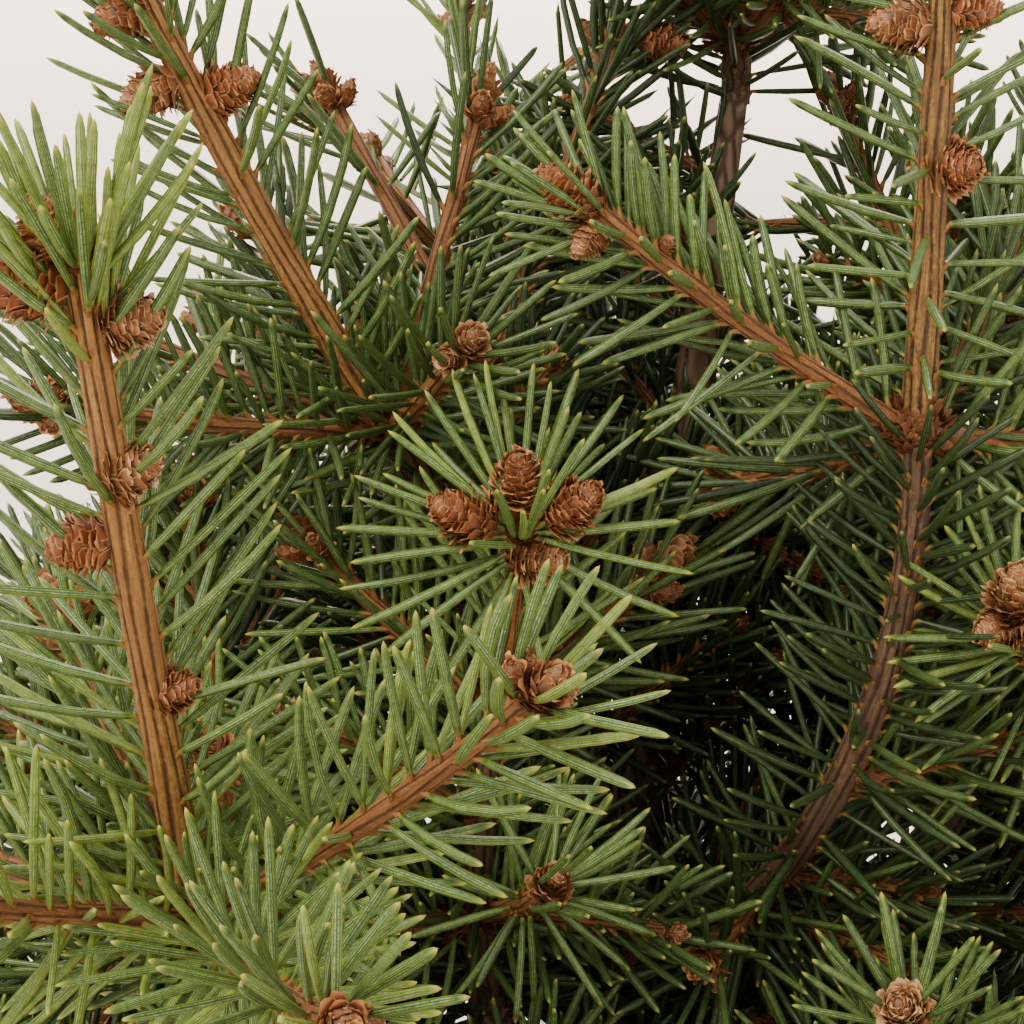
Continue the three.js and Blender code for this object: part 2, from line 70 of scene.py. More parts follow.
def unit(vectors: Array) -> Array:
    """Vectors along the last axis, made one long."""
    return vectors / np.maximum(np.linalg.norm(vectors, axis=-1, keepdims=True), 1e-12)


def heading(turn: float, rise: float) -> Array:
    """A unit vector from a turn about +Z and a rise above the horizontal, in degrees."""
    a, e = math.radians(turn), math.radians(rise)
    return np.array([math.cos(e) * math.cos(a), math.cos(e) * math.sin(a), math.sin(e)])


def place(spot: Triple) -> Array:
    """A point given about the pot's axis.

    Args:
        spot: its turn in degrees, its reach from the axis and its height.

    Returns:
        The point.
    """
    turn, reach, height = spot
    a = math.radians(turn)
    return np.array([reach * math.cos(a), reach * math.sin(a), height])


def square_to(direction: Array) -> tuple[Array, Array]:
    """Two unit vectors square to each direction.

    Args:
        direction: unit vectors, along the last axis.

    Returns:
        The vectors across and along, which form a right-handed set with the direction.
    """
    steep = np.abs(direction[..., 2:3]) >= 0.9
    reference = np.where(steep, np.array([1.0, 0.0, 0.0]), UP)
    across = unit(np.cross(direction, reference))
    return across, unit(np.cross(direction, across))


def lean(main: Array, angle: float, roll: float) -> Array:
    """A direction that leans away from another.

    Args:
        main: the direction that it leans away from.
        angle: how far it leans, in degrees.
        roll: the side that it leans to, in degrees about main.

    Returns:
        The unit vector.
    """
    across, along = square_to(main)
    a, r = math.radians(angle), math.radians(roll)
    return unit(main * math.cos(a) + across * math.sin(a) * math.cos(r)
                + along * math.sin(a) * math.sin(r))


def about(across: Array, along: Array, turn: Array) -> Array:
    """Unit vectors at angles from across towards along, one angle to each."""
    return across * np.cos(turn)[:, None] + along * np.sin(turn)[:, None]


def all_about(across: Array, along: Array, turn: Array) -> Array:
    """Unit vectors at every one of some angles, for each across and along."""
    return (across[:, None] * np.cos(turn)[None, :, None]
            + along[:, None] * np.sin(turn)[None, :, None])


def full_turn(steps: int) -> Array:
    """Angles spread evenly over a full turn."""
    return np.arange(steps) / steps * 2 * math.pi


def flat_ring(steps: int) -> Array:
    """Level unit vectors spread evenly over a full turn."""
    turn = full_turn(steps)
    return np.stack([np.cos(turn), np.sin(turn), np.zeros(steps)], -1)


def ring_faces(steps: int, sides: int) -> Array:
    """The quads between closed rings of points.

    Args:
        steps: how many gaps there are between the rings.
        sides: how many points each ring has.

    Returns:
        The quads, counted from the first ring's first point.
    """
    step, side = np.meshgrid(np.arange(steps), np.arange(sides), indexing="ij")
    a, b = step * sides + side, step * sides + (side + 1) % sides
    return np.stack([a, b, b + sides, a + sides], -1).reshape(-1, 4)


def fan(first: int, sides: int, middle: int) -> Array:
    """The triangles from a closed ring, given by its first point, to a middle point."""
    turn = np.arange(sides)
    return np.stack([first + turn, first + (turn + 1) % sides, np.full(sides, middle)], -1)


def line_gaps(points: Array, starts: Array, ends: Array) -> Array:
    """Distances of points from line pieces.

    Args:
        points: n points.
        starts: first ends of m line pieces.
        ends: their other ends.

    Returns:
        An n by m table of distances.
    """
    run = ends - starts
    offset = points[:, None, :] - starts[None]
    share = (offset * run).sum(-1) / np.maximum((run * run).sum(-1), 1e-12)
    return np.linalg.norm(offset - np.clip(share, 0.0, 1.0)[..., None] * run, axis=-1)


@dataclass
class Axis:
    """The middle line of a limb or shoot: one quadratic curve."""

    start: Array
    middle: Array
    end: Array
    steps: int = 6

    @property
    def length(self) -> float:
        """Straight distance between the ends."""
        return float(np.linalg.norm(self.end - self.start))

    def at(self, share: float | Array) -> Array:
        """The points at shares of the way along."""
        t = np.asarray(share, float)[..., None]
        return self.start * (1 - t) ** 2 + self.middle * 2 * t * (1 - t) + self.end * t * t

    def direction(self, share: float | Array) -> Array:
        """The unit directions at shares of the way along."""
        t = np.asarray(share, float)[..., None]
        return unit((self.middle - self.start) * (1 - t) + (self.end - self.middle) * t)

    def samples(self) -> Array:
        """Points spread evenly over the curve."""
        return self.at(np.arange(self.steps + 1) / self.steps)

    def frames(self, share: Array) -> tuple[Array, Array, Array]:
        """Directions with two square vectors that don't twist along the curve.

        Args:
            share: shares of the way along.

        Returns:
            The directions, the vectors across and the vectors along.
        """
        forward = self.direction(share)
        fixed = square_to(self.direction(0.5))[0]
        across = unit(fixed - forward * (forward @ fixed)[..., None])
        return forward, across, np.cross(forward, across)


def sagging(start: Array, end: Array, sag: float, steps: int = 6) -> Axis:
    """A curve that hangs a little below the straight way between its ends."""
    middle = (start + end) / 2 - UP * sag * np.linalg.norm(end - start)
    return Axis(start, middle, end, steps)


class Dice:
    """Repeatable random numbers."""

    def __init__(self, seed: int) -> None:
        """Start past the first few numbers.

        Args:
            seed: where the numbers start.
        """
        self.state = seed & 0xFFFFFFFF
        for _ in range(3):
            self.next()

    def next(self) -> float:
        """A number from 0 to 1."""
        self.state = (self.state * 1664525 + 1013904223) & 0xFFFFFFFF
        return self.state / 4294967296

    def around(self, spread: float) -> float:
        """A number up to spread on either side of 0."""
        return spread * (2 * self.next() - 1)


# ---- sizes shared with the solids


@dataclass(frozen=True)
class PotSizes:
    """Sizes of the clay pot, in millimetres."""

    height: float = 125
    base_radius: float = 52
    shoulder_radius: float = 71
    rim_radius: float = 78
    rim_height: float = 24
    wall: float = 6
    floor: float = 8
    drain_radius: float = 4
    drain_circle: float = 26
    drain_count: int = 3

    def inner(self, height: float) -> float:
        """The radius of the inner face at a height."""
        low, high = self.base_radius - self.wall, self.rim_radius - self.wall
        return low + (high - low) * (height - self.floor) / (self.height - self.floor)


@dataclass(frozen=True)
class TrunkSizes:
    """Sizes of the trunk, in millimetres, from the soil to the highest whorl."""

    foot: float = 113.3
    top: float = 329
    lean_x: float = 20
    lean_y: float = 25
    straight_share: float = 0.35
    foot_radius: float = 10.5
    neck_radius: float = 5.6
    top_radius: float = 1.7
    flare_height: float = 13
    flare_lobes: int = 5
    flare_depth: float = 0.14

    def flare(self, height: Array) -> Array:
        """How much of the root flare is left at a height."""
        return np.exp(2 * (self.foot - np.asarray(height, float)) / self.flare_height)

    def point(self, height: Array) -> Array:
        """The middle of the trunk.

        Args:
            height: heights above the ground.

        Returns:
            The points at those heights.
        """
        height = np.asarray(height, float)
        share = (height - self.foot) / (self.top - self.foot)
        bend = self.straight_share * share + (1 - self.straight_share) * share * share
        return np.stack([self.lean_x * bend, self.lean_y * bend, height], -1)

    def radius(self, height: Array) -> Array:
        """The trunk's radius.

        Args:
            height: heights above the ground.

        Returns:
            The radii at those heights.
        """
        share = (np.asarray(height, float) - self.foot) / (self.top - self.foot)
        stem = self.neck_radius + (self.top_radius - self.neck_radius) * share
        return stem + (self.foot_radius - self.neck_radius) * self.flare(height)


@dataclass(frozen=True)
class LimbSizes:
    """Sizes of boughs and of their joints with the stems that masses stand on."""

    bough_foot: float = 3.0
    bough_tip: float = 1.9
    foot_share: float = 0.72
    sag: float = 0.1
    sunk: float = 1.5
    gap: float = 0.3


@dataclass(frozen=True)
class ShootRule:
    """The rule by which shoots are set: millimetres and degrees.

    The shoots of a whorl stand at rolls, and those along a stem at shares of it, with a roll.
    """

    seed: int = 41
    tier_seed: int = 7
    mass_seed: int = 1009
    shoot_seed: int = 97
    whorl_rolls: tuple[float, ...] = (45, 135, 225, 315)
    stem_places: tuple[Pair, ...] = ((0.35, 0), (0.6, 180), (0.8, 90), (0.5, 270))
    leader_length: float = 46
    length_spread: float = 0.1
    side_angle: float = 50
    angle_spread: float = 8
    roll_spread: float = 16
    side_ratio: float = 0.82
    stem_ratio: float = 0.62
    tries: int = 5
    shrink: float = 0.9
    spacing: float = 9.2
    limb_spacing: float = 4.6
    sag: float = 0.05
    bud_length: float = 5.5
    pot_spacing: float = 3
    crown_floor: float = 119


@dataclass(frozen=True)
class FillRule:
    """How finer twigs fill the crown between the shoots."""

    seed: int = 77
    base_seed: int = 131
    spacing: float = 6.4
    limb_spacing: float = 1.2
    pot_spacing: float = 5
    bud_length: float = 4
    bare_foot: float = 36
    bare_top: float = 4
    step: float = 6.5
    angle: float = 56
    angle_spread: float = 14
    roll_spread: float = 70
    length_spread: float = 0.2
    tries: int = 4
    shrink: float = 0.86


@dataclass(frozen=True)
class DressRule:
    """How finely twigs are built, and the painted light and shade of their needles.

    A twig is close where it shows in the view, up to a margin past its edges, between two
    depths. Its tone is a step of painted light and shade: it rises with its reach from the trunk
    and its height, from a middle value, and falls a little in the view, as painted shade behind the
    front shoots, so that they stand out.
    """

    seed: int = 900
    close_margin: float = 60
    close_depths: Pair = (-200, 62)
    view_depths: Pair = (10, 90)
    view_fall: float = 0.8
    reach: float = 45
    reach_span: float = 60
    height: float = 230
    height_span: float = 130
    tone: float = 1.5
    tone_rise: float = 1.3
    tone_spread: float = 0.8


@dataclass(frozen=True)
class OpenPlaces:
    """The places through which the front shoots show, which other shoots stay out of."""

    x: float = -7
    half_width: float = 62
    y: float = -48
    z: float = 234
    slope: float = 0.45
    begin: float = -58
    hollow_low: Triple = (10, -54, 250)
    hollow_high: Triple = (33, -12, 292)

    def holds(self, points: Array) -> Array:
        """Whether points are in one of the places.

        Args:
            points: the points.

        Returns:
            A yes or no for each.
        """
        x, y, z = points.T
        sill = self.z + self.slope * np.maximum(0, self.begin - y)
        opening = (y < self.y) & (z > sill) & (np.abs(x - self.x) < self.half_width)
        low, high = np.array(self.hollow_low), np.array(self.hollow_high)
        return opening | ((points > low) & (points < high)).all(1)


POT = PotSizes()
TRUNK = TrunkSizes()
LIMB = LimbSizes()
RULE = ShootRule()
FILL = FillRule()
DRESS = DressRule()
OPEN = OpenPlaces()


@dataclass(frozen=True)
class NamedShoot:
    """A shoot with its own turn, rise and length, leaving its stem at a share of the way."""

    turn: float
    rise: float
    length: float
    along: float = 1.0


@dataclass(frozen=True)
class MassPlan:
    """Where a mass of foliage stands. Spots are a turn, a reach and a height.

    It leaves the trunk at a height. Its stem runs from the bough's tip, or from the trunk where
    there is no bough, past the bend to the whorl. Besides its named shoots, so many extra ones
    are tried there, which look along aim, or on along the stem.
    """

    name: str
    leaves: float
    whorl: Triple | None
    extra: int
    shoots: tuple[NamedShoot, ...] = ()
    bough: Triple | None = None
    bend: Triple | None = None
    aim: Array | None = None


@dataclass(frozen=True)
class Tier:
    """A tier of boughs with one mass at the end of each."""

    name: str
    count: int
    first: float
    step: float
    leaves: float
    stagger: float
    whorl_reach: float
    whorl_height: float
    rise: float
    sway: float
    extra: int
    reach: float = 0
    height: float = 0


N = NamedShoot
FRONT = (
    MassPlan("right_leader", 212, (-49.6, 52.5, 301.7), 0, (
        N(70, 83.9, 51), N(-171.5, 35.6, 41.5), N(19, -4, 29), N(118, -20, 38), N(62, 26, 41),
        N(-114.5, -4, 17, 0.16), N(-2, 18, 26, 0.42)), (-41, 19.8, 234), (-54.6, 59.5, 268)),
    MassPlan("left_leader", 181, (-115.5, 84.2, 264.3), 2, (
        N(-109.8, 74.8, 67), N(-43.8, 36.5, 54), N(153.2, 5.9, 36), N(-71.9, 14, 54),
        N(-143, 20, 42), N(130, 48, 32)), (-114, 66, 243)),
    MassPlan("centre", 203, (-108.4, 28.5, 268), 1, (
        N(-80.8, 53.5, 31.5), N(165, 40, 27), N(24, 34, 24), N(-73, 27, 29, 0.32),
        N(-150, 10, 25, 0.3)), (-116.6, 22.4, 232), (-112, 31, 249)),
    MassPlan("upper_left", 238, (-139.5, 27, 297), 2, (
        N(-161.7, 61.9, 56), N(171.7, 20, 40), N(52.1, 64.5, 38), N(122, 30, 38)),
        (-147.3, 16.6, 283)),
    MassPlan("behind", 262, (141.6, 12.2, 298.2), 1, (
        N(31.6, 65.8, 43), N(139.5, 50, 40), N(-174, 10, 24))),
    MassPlan("right_edge", 195, (-26.3, 58.7, 268.8), 2, (
        N(-112.4, 33.3, 31.7), N(-7, 35.4, 40), N(36.5, 78, 42), N(-58, 4, 40), N(62, 22, 42)),
        (-23.2, 45.7, 252)),
    MassPlan("bottom_right", 171, (-44.4, 53.9, 225.7), 2, (
        N(-107.1, 44.8, 29.8), N(-12.3, 20, 38), N(-80.8, 6, 40), N(-41.5, 30, 43)),
        (-42.1, 41.8, 212)),
    MassPlan("mid_left", 190, (-146.1, 46, 251.2), 2, (
        N(-87, 40.2, 29.9), N(-178, 34, 42), N(130.7, 29.7, 41), N(116, 76, 40)),
        (-149, 35, 238)),
)

GOLDEN_SHARE = 0.382
TIER_CLIMB, TIER_REACH, TIER_WHORL, TIER_RISE = 0.6, 3, 4, 6
TIERS = (
    Tier("low", 7, -76, 51.4, 127, 23, 77, 156, 16, 6, 9, reach=56, height=145),
    Tier("lower", 6, -98, 60, 152, 18, 68, 205, 34, 5, 9, reach=48, height=184),
    Tier("upper", 5, 8, 42, 208, 19, 55, 261, 48, 4, 9, reach=40, height=240),
    Tier("high", 2, 12, 90, 276, 9, 46, 300, 60, 3, 7),
)
TOP_TURN, TOP_RISE, TOP_STEM, TOP_LENGTH, TOP_EXTRA = 60, 86, 5, 52, 6


# ---- the view


@dataclass(frozen=True)
class FrontView:
    """The camera's place, close in front of the crown and a little above level.

    Places in the view are counted across and down from its top left corner, in tenths of a
    millimetre at the aim. Rounds are such places with a radius, and depths are past the aim.
    """

    aim: Triple = (-7, -45, 295)
    distance: float = 285
    elevation: float = 15
    lens: float = 100
    sensor: float = 36
    side: float = 1024
    scale: float = 10
    gap_depth: float = 14
    gaps: tuple[Triple, ...] = (
        (50, 50, 95), (160, 150, 46), (172, 232, 34), (165, 305, 36), (340, 90, 44),
        (335, 175, 44), (318, 290, 34), (400, 60, 40), (425, 190, 36), (250, 395, 24),
        (545, 20, 46), (640, 100, 22), (775, 80, 40), (764, 190, 34), (772, 252, 26),
        (545, 318, 20), (880, 150, 20), (1000, 130, 24), (965, 425, 18), (20, 720, 26),
        (890, 822, 16))
    hollows: tuple[Triple, ...] = (
        (765, 745, 92), (705, 805, 60), (835, 690, 60), (650, 705, 42), (790, 860, 55))
    hollow_depths: Pair = (2, 26)
    shade_depths: Pair = (2, 90)

    def axes(self) -> tuple[Array, Array, Array]:
        """The view's directions.

        Returns:
            Right, up and forward.
        """
        rise = math.radians(self.elevation)
        return (np.array([1.0, 0, 0]), np.array([0, math.sin(rise), math.cos(rise)]),
                np.array([0, math.cos(rise), -math.sin(rise)]))

    def eye(self) -> Array:
        """The camera's place."""
        return np.array(self.aim) - self.axes()[2] * self.distance

    def scale_at(self, depth: float | Array) -> float | Array:
        """How many view units a millimetre takes up at a depth."""
        return self.scale * self.distance / np.maximum(self.distance + depth, 1e-6)

    def seen(self, points: Array) -> Array:
        """Where points show.

        Args:
            points: the points.

        Returns:
            The place in the view and the depth of each, as one row.
        """
        right, up, forward = self.axes()
        offset = points - np.array(self.aim)
        depth = offset @ forward
        scale, half = self.scale_at(depth), self.side / 2
        return np.stack([half + offset @ right * scale, half - offset @ up * scale, depth], -1)

    def world(self, x: float, y: float, depth: float) -> Array:
        """The point that shows at a place.

        Args:
            x: the place across the view.
            y: the place down the view.
            depth: the point's depth.

        Returns:
            The point.
        """
        right, up, forward = self.axes()
        scale, half = self.scale_at(depth), self.side / 2
        return (np.array(self.aim) + right * (x - half) / scale - up * (y - half) / scale
                + forward * depth)

    def in_rounds(self, points: Array, rounds: tuple[Triple, ...], nearest: float,
                  deepest: float) -> Array:
        """Whether points show in one of some rounds.

        Args:
            points: the points.
            rounds: the rounds.
            nearest: the depth that they stand behind.
            deepest: the depth that they stand before.

        Returns:
            A yes or no for each.
        """
        x, y, depth = self.seen(points).T
        inside = np.zeros(len(points), bool)
        for middle_x, middle_y, radius in rounds:
            inside |= np.hypot(x - middle_x, y - middle_y) < radius
        return inside & (depth > nearest) & (depth < deepest)

    def through_gaps(self, points: Array) -> Array:
        """Whether each point stands in one of the gaps behind the front shoots."""
        return self.in_rounds(points, self.gaps, self.gap_depth, math.inf)

    def in_hollows(self, points: Array) -> Array:
        """Whether each point stands in the dark hollow between the front shoots."""
        return self.in_rounds(points, self.hollows, *self.hollow_depths)

    def outside(self, points: Array, margin: float) -> Array:
        """Whether points show outside the view.

        Args:
            points: the points.
            margin: how far past the view's edges still counts as inside.

        Returns:
            A yes or no for each.
        """
        x, y, _ = self.seen(points).T
        reach = self.side / 2 + margin
        return (np.abs(x - self.side / 2) > reach) | (np.abs(y - self.side / 2) > reach)

    def sees(self, points: Array, margin: float, nearest: float, deepest: float) -> bool:
        """Whether any of some points is in the view or near it.

        Args:
            points: the points.
            margin: how far past the view's edges still counts.
            nearest: the depth that they stand behind.
            deepest: the depth that they stand before.

        Returns:
            Whether there is one.
        """
        depth = self.seen(points)[:, 2]
        near = ~self.outside(points, margin) & (depth > nearest) & (depth < deepest)
        return bool(near.any())


VIEW = FrontView()


# ---- the skeleton


class Kind(Enum):
    """What a limb is: it sets its thickness and its needles."""

    LEADER = "leader"
    SHOOT = "shoot"
    FINE = "fine"
    STEM = "stem"
    BOUGH = "bough"


class Detail(Enum):
    """How finely a twig or needle is built."""

    CLOSE = "close"
    FAR = "far"
    SPARE = "spare"


# How many steps of painted light and shade the needles have.
NEEDLE_SHADE_STEPS = 5
FRONT_NAMES = {plan.name for plan in FRONT}
LEAST_LEADER = 49
# Where finer twigs begin and end along each kind of limb, and how long they are.
FINE_REACH = {Kind.BOUGH: (0.3, 1.0, 27), Kind.STEM: (0.12, 0.98, 25), Kind.SHOOT: (0.2, 0.8, 19),
              Kind.LEADER: (0.12, 0.62, 17)}


@dataclass
class Mass:
    """A mass of foliage: its stem, the way its shoots look, its bough and its shoots."""

    plan: MassPlan
    stem: Axis
    aim: Array
    arm: Axis | None = None
    shoots: list[Axis] = field(default_factory=list)

    @property
    def name(self) -> str:
        """Its name, without that of its kind."""
        return self.plan.name


@dataclass
class Twig:
    """One limb or shoot as the looks need it."""

    axis: Axis
    kind: Kind
    mass: str
    rank: int
    detail: Detail = Detail.FAR
    # The step of painted light and shade that its needles take.
    tone: int = 0

    @property
    def close(self) -> bool:
        """Whether it is built finely."""
        return self.detail is Detail.CLOSE

    @property
    def green(self) -> bool:
        """Whether it is a young shoot, with a bud at its end."""
        return self.kind in (Kind.SHOOT, Kind.LEADER, Kind.FINE)


class LineSet:
    """Line pieces with their owners, to keep distances from."""

    def __init__(self) -> None:
        """Start empty."""
        self.starts = np.zeros((0, 3))
        self.ends = np.zeros((0, 3))
        self.owner = np.zeros(0, int)

    def add(self, axis: Axis, owner: int) -> None:
        """Add the line pieces between an axis's samples.

        Args:
            axis: the axis.
            owner: the number of the mass that owns it.
        """
        points = axis.samples()
        self.starts = np.vstack([self.starts, points[:-1]])
        self.ends = np.vstack([self.ends, points[1:]])
        self.owner = np.append(self.owner, np.full(len(points) - 1, owner))

    def nearest(self, points: Array, keep: Array | None = None) -> Array:
        """Distances from the nearest piece.

        Args:
            points: the points to measure from.
            keep: a yes or no for each piece, or None for all.

        Returns:
            The distance of each point.
        """
        keep = np.ones(len(self.owner), bool) if keep is None else keep
        if not keep.any():
            return np.full(len(points), np.inf)
        return line_gaps(points, self.starts[keep], self.ends[keep]).min(1)


@dataclass
class Crown:
    """The whole skeleton, grown by the rule of the solids and carried on to finer twigs."""

    masses: list[Mass] = field(default_factory=list)
    twigs: list[Twig] = field(default_factory=list)
    arms: LineSet = field(default_factory=LineSet)
    stems: LineSet = field(default_factory=LineSet)
    shoots: LineSet = field(default_factory=LineSet)

    def mount(self, plan: MassPlan) -> Mass:
        """The bough and the stem that one mass stands on.

        Args:
            plan: where it stands.

        Returns:
            The mass, with no shoots yet.
        """
        foot, whorl = TRUNK.point(plan.leaves), place(plan.whorl)
        arm, stem = None, sagging(foot, whorl, LIMB.sag)
        if plan.bough:
            tip = place(plan.bough)
            onward = (unit(place(plan.bend) - tip) if plan.bend
                      else sagging(foot, tip, LIMB.sag).direction(1))
            arm = Axis(foot, tip - onward * 0.5 * np.linalg.norm(foot - tip), tip, 8)
            start = tip + onward * LIMB.gap
            halfway = start + onward * 0.5 * np.linalg.norm(start - whorl)
            stem = Axis(start, place(plan.bend) if plan.bend else halfway, whorl)
        return Mass(plan, stem, stem.direction(1) if plan.aim is None else plan.aim, arm)

    def tier_masses(self, tier: Tier) -> list[Mass]:
        """The masses of a tier.

        Args:
            tier: the tier.

        Returns:
            One mass for each of its places.
        """
        dice = Dice(int(RULE.seed + RULE.tier_seed * tier.leaves))
        found = []
        for i in range(tier.count):
            turn = tier.first + i * tier.step + dice.around(tier.sway)
            rank = (i * GOLDEN_SHARE) % 1
            climb = TIER_CLIMB * tier.stagger * (rank - 0.5)
            reach = tier.reach + dice.around(TIER_REACH)
            bough = (turn, reach, tier.height + climb) if tier.reach else None
            whorl_turn = turn + dice.around(tier.sway)
            whorl = (whorl_turn, tier.whorl_reach + dice.around(TIER_WHORL),
                     tier.whorl_height + climb)
            aim = heading(turn, tier.rise + dice.around(TIER_RISE))
            found.append(self.mount(MassPlan(
                f"{tier.name}_{i + 1}", tier.leaves + tier.stagger * rank, whorl, tier.extra,
                bough=bough, aim=aim)))
        return found

    def top_mass(self) -> Mass:
        """The mass on the cut top of the trunk.

        Returns:
            The mass, with no shoots yet.
        """
        top, aim = TRUNK.point(TRUNK.top), heading(TOP_TURN, TOP_RISE)
        stem = sagging(top - UP * LIMB.sunk, top + aim * TOP_STEM, 0)
        leader = NamedShoot(TOP_TURN, TOP_RISE, TOP_LENGTH)
        return Mass(MassPlan("main_leader", TRUNK.top, None, TOP_EXTRA, (leader,)), stem, aim)

    def near_limb(self, points: Array, spacing: float, spared: int = -1) -> Array:
        """Whether points are too near the trunk or a bough.

        Args:
            points: the points.
            spacing: how near is too near.
            spared: number of the mass whose bough doesn't count.

        Returns:
            A yes or no for each.
        """
        z = points[:, 2]
        centre = TRUNK.point(np.minimum(z, TRUNK.top))
        reach = TRUNK.radius(centre[:, 2]) + spacing
        near = (z < TRUNK.top + spacing) & (np.linalg.norm(centre - points, axis=1) < reach)
        others = self.arms.nearest(points, self.arms.owner != spared)
        return near | (others < LIMB.bough_foot + spacing)

    def meets_pot(self, points: Array, spacing: float) -> Array:
        """Whether each point is in the pot or too near it."""
        over = np.hypot(points[:, 0], points[:, 1]) < POT.rim_radius + spacing
        return points[:, 2] < np.where(over, POT.height + spacing, RULE.crown_floor)

    def fits(self, axis: Axis, owner: int) -> bool:
        """Whether a shoot keeps its distance from every limb and shoot that is there.

        Args:
            axis: the shoot's axis.
            owner: the number of its mass.

        Returns:
            Whether it fits.
        """
        bud = axis.end + axis.direction(1) * RULE.bud_length
        points = np.vstack([axis.samples(), bud])
        if any(taken.any() for taken in (
                self.meets_pot(points, RULE.pot_spacing), OPEN.holds(points),
                self.near_limb(points[:2], RULE.limb_spacing, owner),
                self.near_limb(points[2:], RULE.limb_spacing))):
            return False
        gaps = (self.stems.nearest(points, self.stems.owner != owner),
                self.shoots.nearest(points, self.shoots.owner != owner),
                self.shoots.nearest(points[3:]))
        return min(gap.min() for gap in gaps) >= RULE.spacing

    def try_shoot(self, owner: int, along: float | None, roll: float, angle: float,
                  ratio: float, dice: Dice) -> None:
        """Add one ruled shoot, tried a few times, a little shorter and more turned each time.

        Args:
            owner: the number of its mass.
            along: where it leaves the stem, or None for the stem's end.
            roll: the side that it leans to, in degrees.
            angle: how far it leans, in degrees.
            ratio: its share of a leader's length.
            dice: source of random numbers.
        """
        mass = self.masses[owner]
        base = mass.stem.at(1.0 if along is None else along)
        main = mass.aim if along is None else mass.stem.direction(along)
        for attempt in range(RULE.tries):
            leaning = angle + dice.around(RULE.angle_spread)
            rolled = roll + dice.around(RULE.roll_spread * (1 + attempt))
            share = ratio * (1 + dice.around(RULE.length_spread)) * RULE.shrink ** attempt
            way = lean(main, leaning, rolled)
            axis = sagging(base, base + way * RULE.leader_length * share, RULE.sag)
            if self.fits(axis, owner):
                mass.shoots.append(axis)
                self.shoots.add(axis, owner)
                return

    def roles(self, mass: Mass) -> list[tuple[float | None, float, float, float]]:
        """Where the ruled shoots start and how they lean.

        Args:
            mass: the mass that they grow on.

        Returns:
            The place along the stem, the roll, the angle and the length's ratio of each.
        """
        leader = [] if mass.plan.shoots else [(None, 0, RULE.angle_spread, 1.0)]
        whorl = [(None, roll, RULE.side_angle, RULE.side_ratio) for roll in RULE.whorl_rolls]
        side = RULE.side_angle + RULE.angle_spread
        stem = [(along, roll, side, RULE.stem_ratio) for along, roll in RULE.stem_places]
        return (leader + whorl + stem)[:mass.plan.extra]

    def grow(self) -> None:
        """Set the boughs, stems, named shoots and ruled shoots as the solids have them."""
        self.masses = [self.mount(plan) for plan in FRONT]
        for tier in TIERS:
            self.masses += self.tier_masses(tier)
        self.masses.append(self.top_mass())
        for i, mass in enumerate(self.masses):
            self.stems.add(mass.stem, i)
            if mass.arm:
                self.arms.add(mass.arm, i)
            for shoot in mass.plan.shoots:
                base = mass.stem.at(shoot.along)
                tip = base + heading(shoot.turn, shoot.rise) * shoot.length
                mass.shoots.append(sagging(base, tip, RULE.sag))
                self.shoots.add(mass.shoots[-1], i)
        for i, mass in enumerate(self.masses):
            for j, (along, roll, angle, ratio) in enumerate(self.roles(mass)):
                seed = RULE.seed + RULE.mass_seed * (i + 1) + RULE.shoot_seed * (j + 1)
                self.try_shoot(i, along, roll, angle, ratio, Dice(seed))

    def list_twigs(self) -> None:
        """List every bough, stem and shoot as a twig."""
        for mass in self.masses:
            if mass.arm:
                self.twigs.append(Twig(mass.arm, Kind.BOUGH, mass.name, 0))
            self.twigs.append(Twig(mass.stem, Kind.STEM, mass.name, 0))
            for rank, axis in enumerate(mass.shoots):
                leads = rank == 0 and axis.length > LEAST_LEADER
                kind = Kind.LEADER if leads else Kind.SHOOT
                self.twigs.append(Twig(axis, kind, mass.name, rank))

    def fine_bases(self) -> list[tuple[Axis, float, str, float]]:
        """Where finer twigs may start.

        Returns:
            The axis, the share of the way along it, the mass and the length of each.
        """
        found = []
        height = TRUNK.foot + FILL.bare_foot
        trunk = Axis(TRUNK.point(height), TRUNK.point((height + TRUNK.top) / 2),
                     TRUNK.point(TRUNK.top - FILL.bare_top))
        for twig in [*self.twigs, Twig(trunk, Kind.BOUGH, "upper_1", 0)]:
            begin, end, length = FINE_REACH[twig.kind]
            if twig.mass in FRONT_NAMES and twig.kind in (Kind.SHOOT, Kind.LEADER):
                continue
            for step in range(int((end - begin) * twig.axis.length / FILL.step)):
                share = begin + step * FILL.step / twig.axis.length
                found.append((twig.axis, share, twig.mass, length))
        return found

    def fill(self) -> None:
        """Carry the crown on to finer twigs wherever there is room for one."""
        lines = LineSet()
        for twig in self.twigs:
            lines.add(twig.axis, 0)
        for number, (parent, share, mass, length) in enumerate(self.fine_bases()):
            dice = Dice(FILL.seed + FILL.base_seed * number)
            base, main = parent.at(share), parent.direction(share)
            for attempt in range(FILL.tries):
                roll = math.degrees(GOLDEN_TURN) * number + dice.around(FILL.roll_spread)
                way = lean(main, FILL.angle + dice.around(FILL.angle_spread), roll)
                size = length * (1 + dice.around(FILL.length_spread)) * FILL.shrink ** attempt
                axis = sagging(base, base + way * size, -RULE.sag)
                bud = axis.end + axis.direction(1) * FILL.bud_length
                points = np.vstack([axis.samples(), bud])
                blocked = any(taken.any() for taken in (
                    self.meets_pot(points, FILL.pot_spacing), OPEN.holds(points),
                    VIEW.through_gaps(points), VIEW.in_hollows(points),
                    self.near_limb(points[3:], FILL.limb_spacing)))
                if not blocked and lines.nearest(points[3:]).min() >= FILL.spacing:
                    lines.add(axis, 0)
                    self.twigs.append(Twig(axis, Kind.FINE, mass, number))
                    break

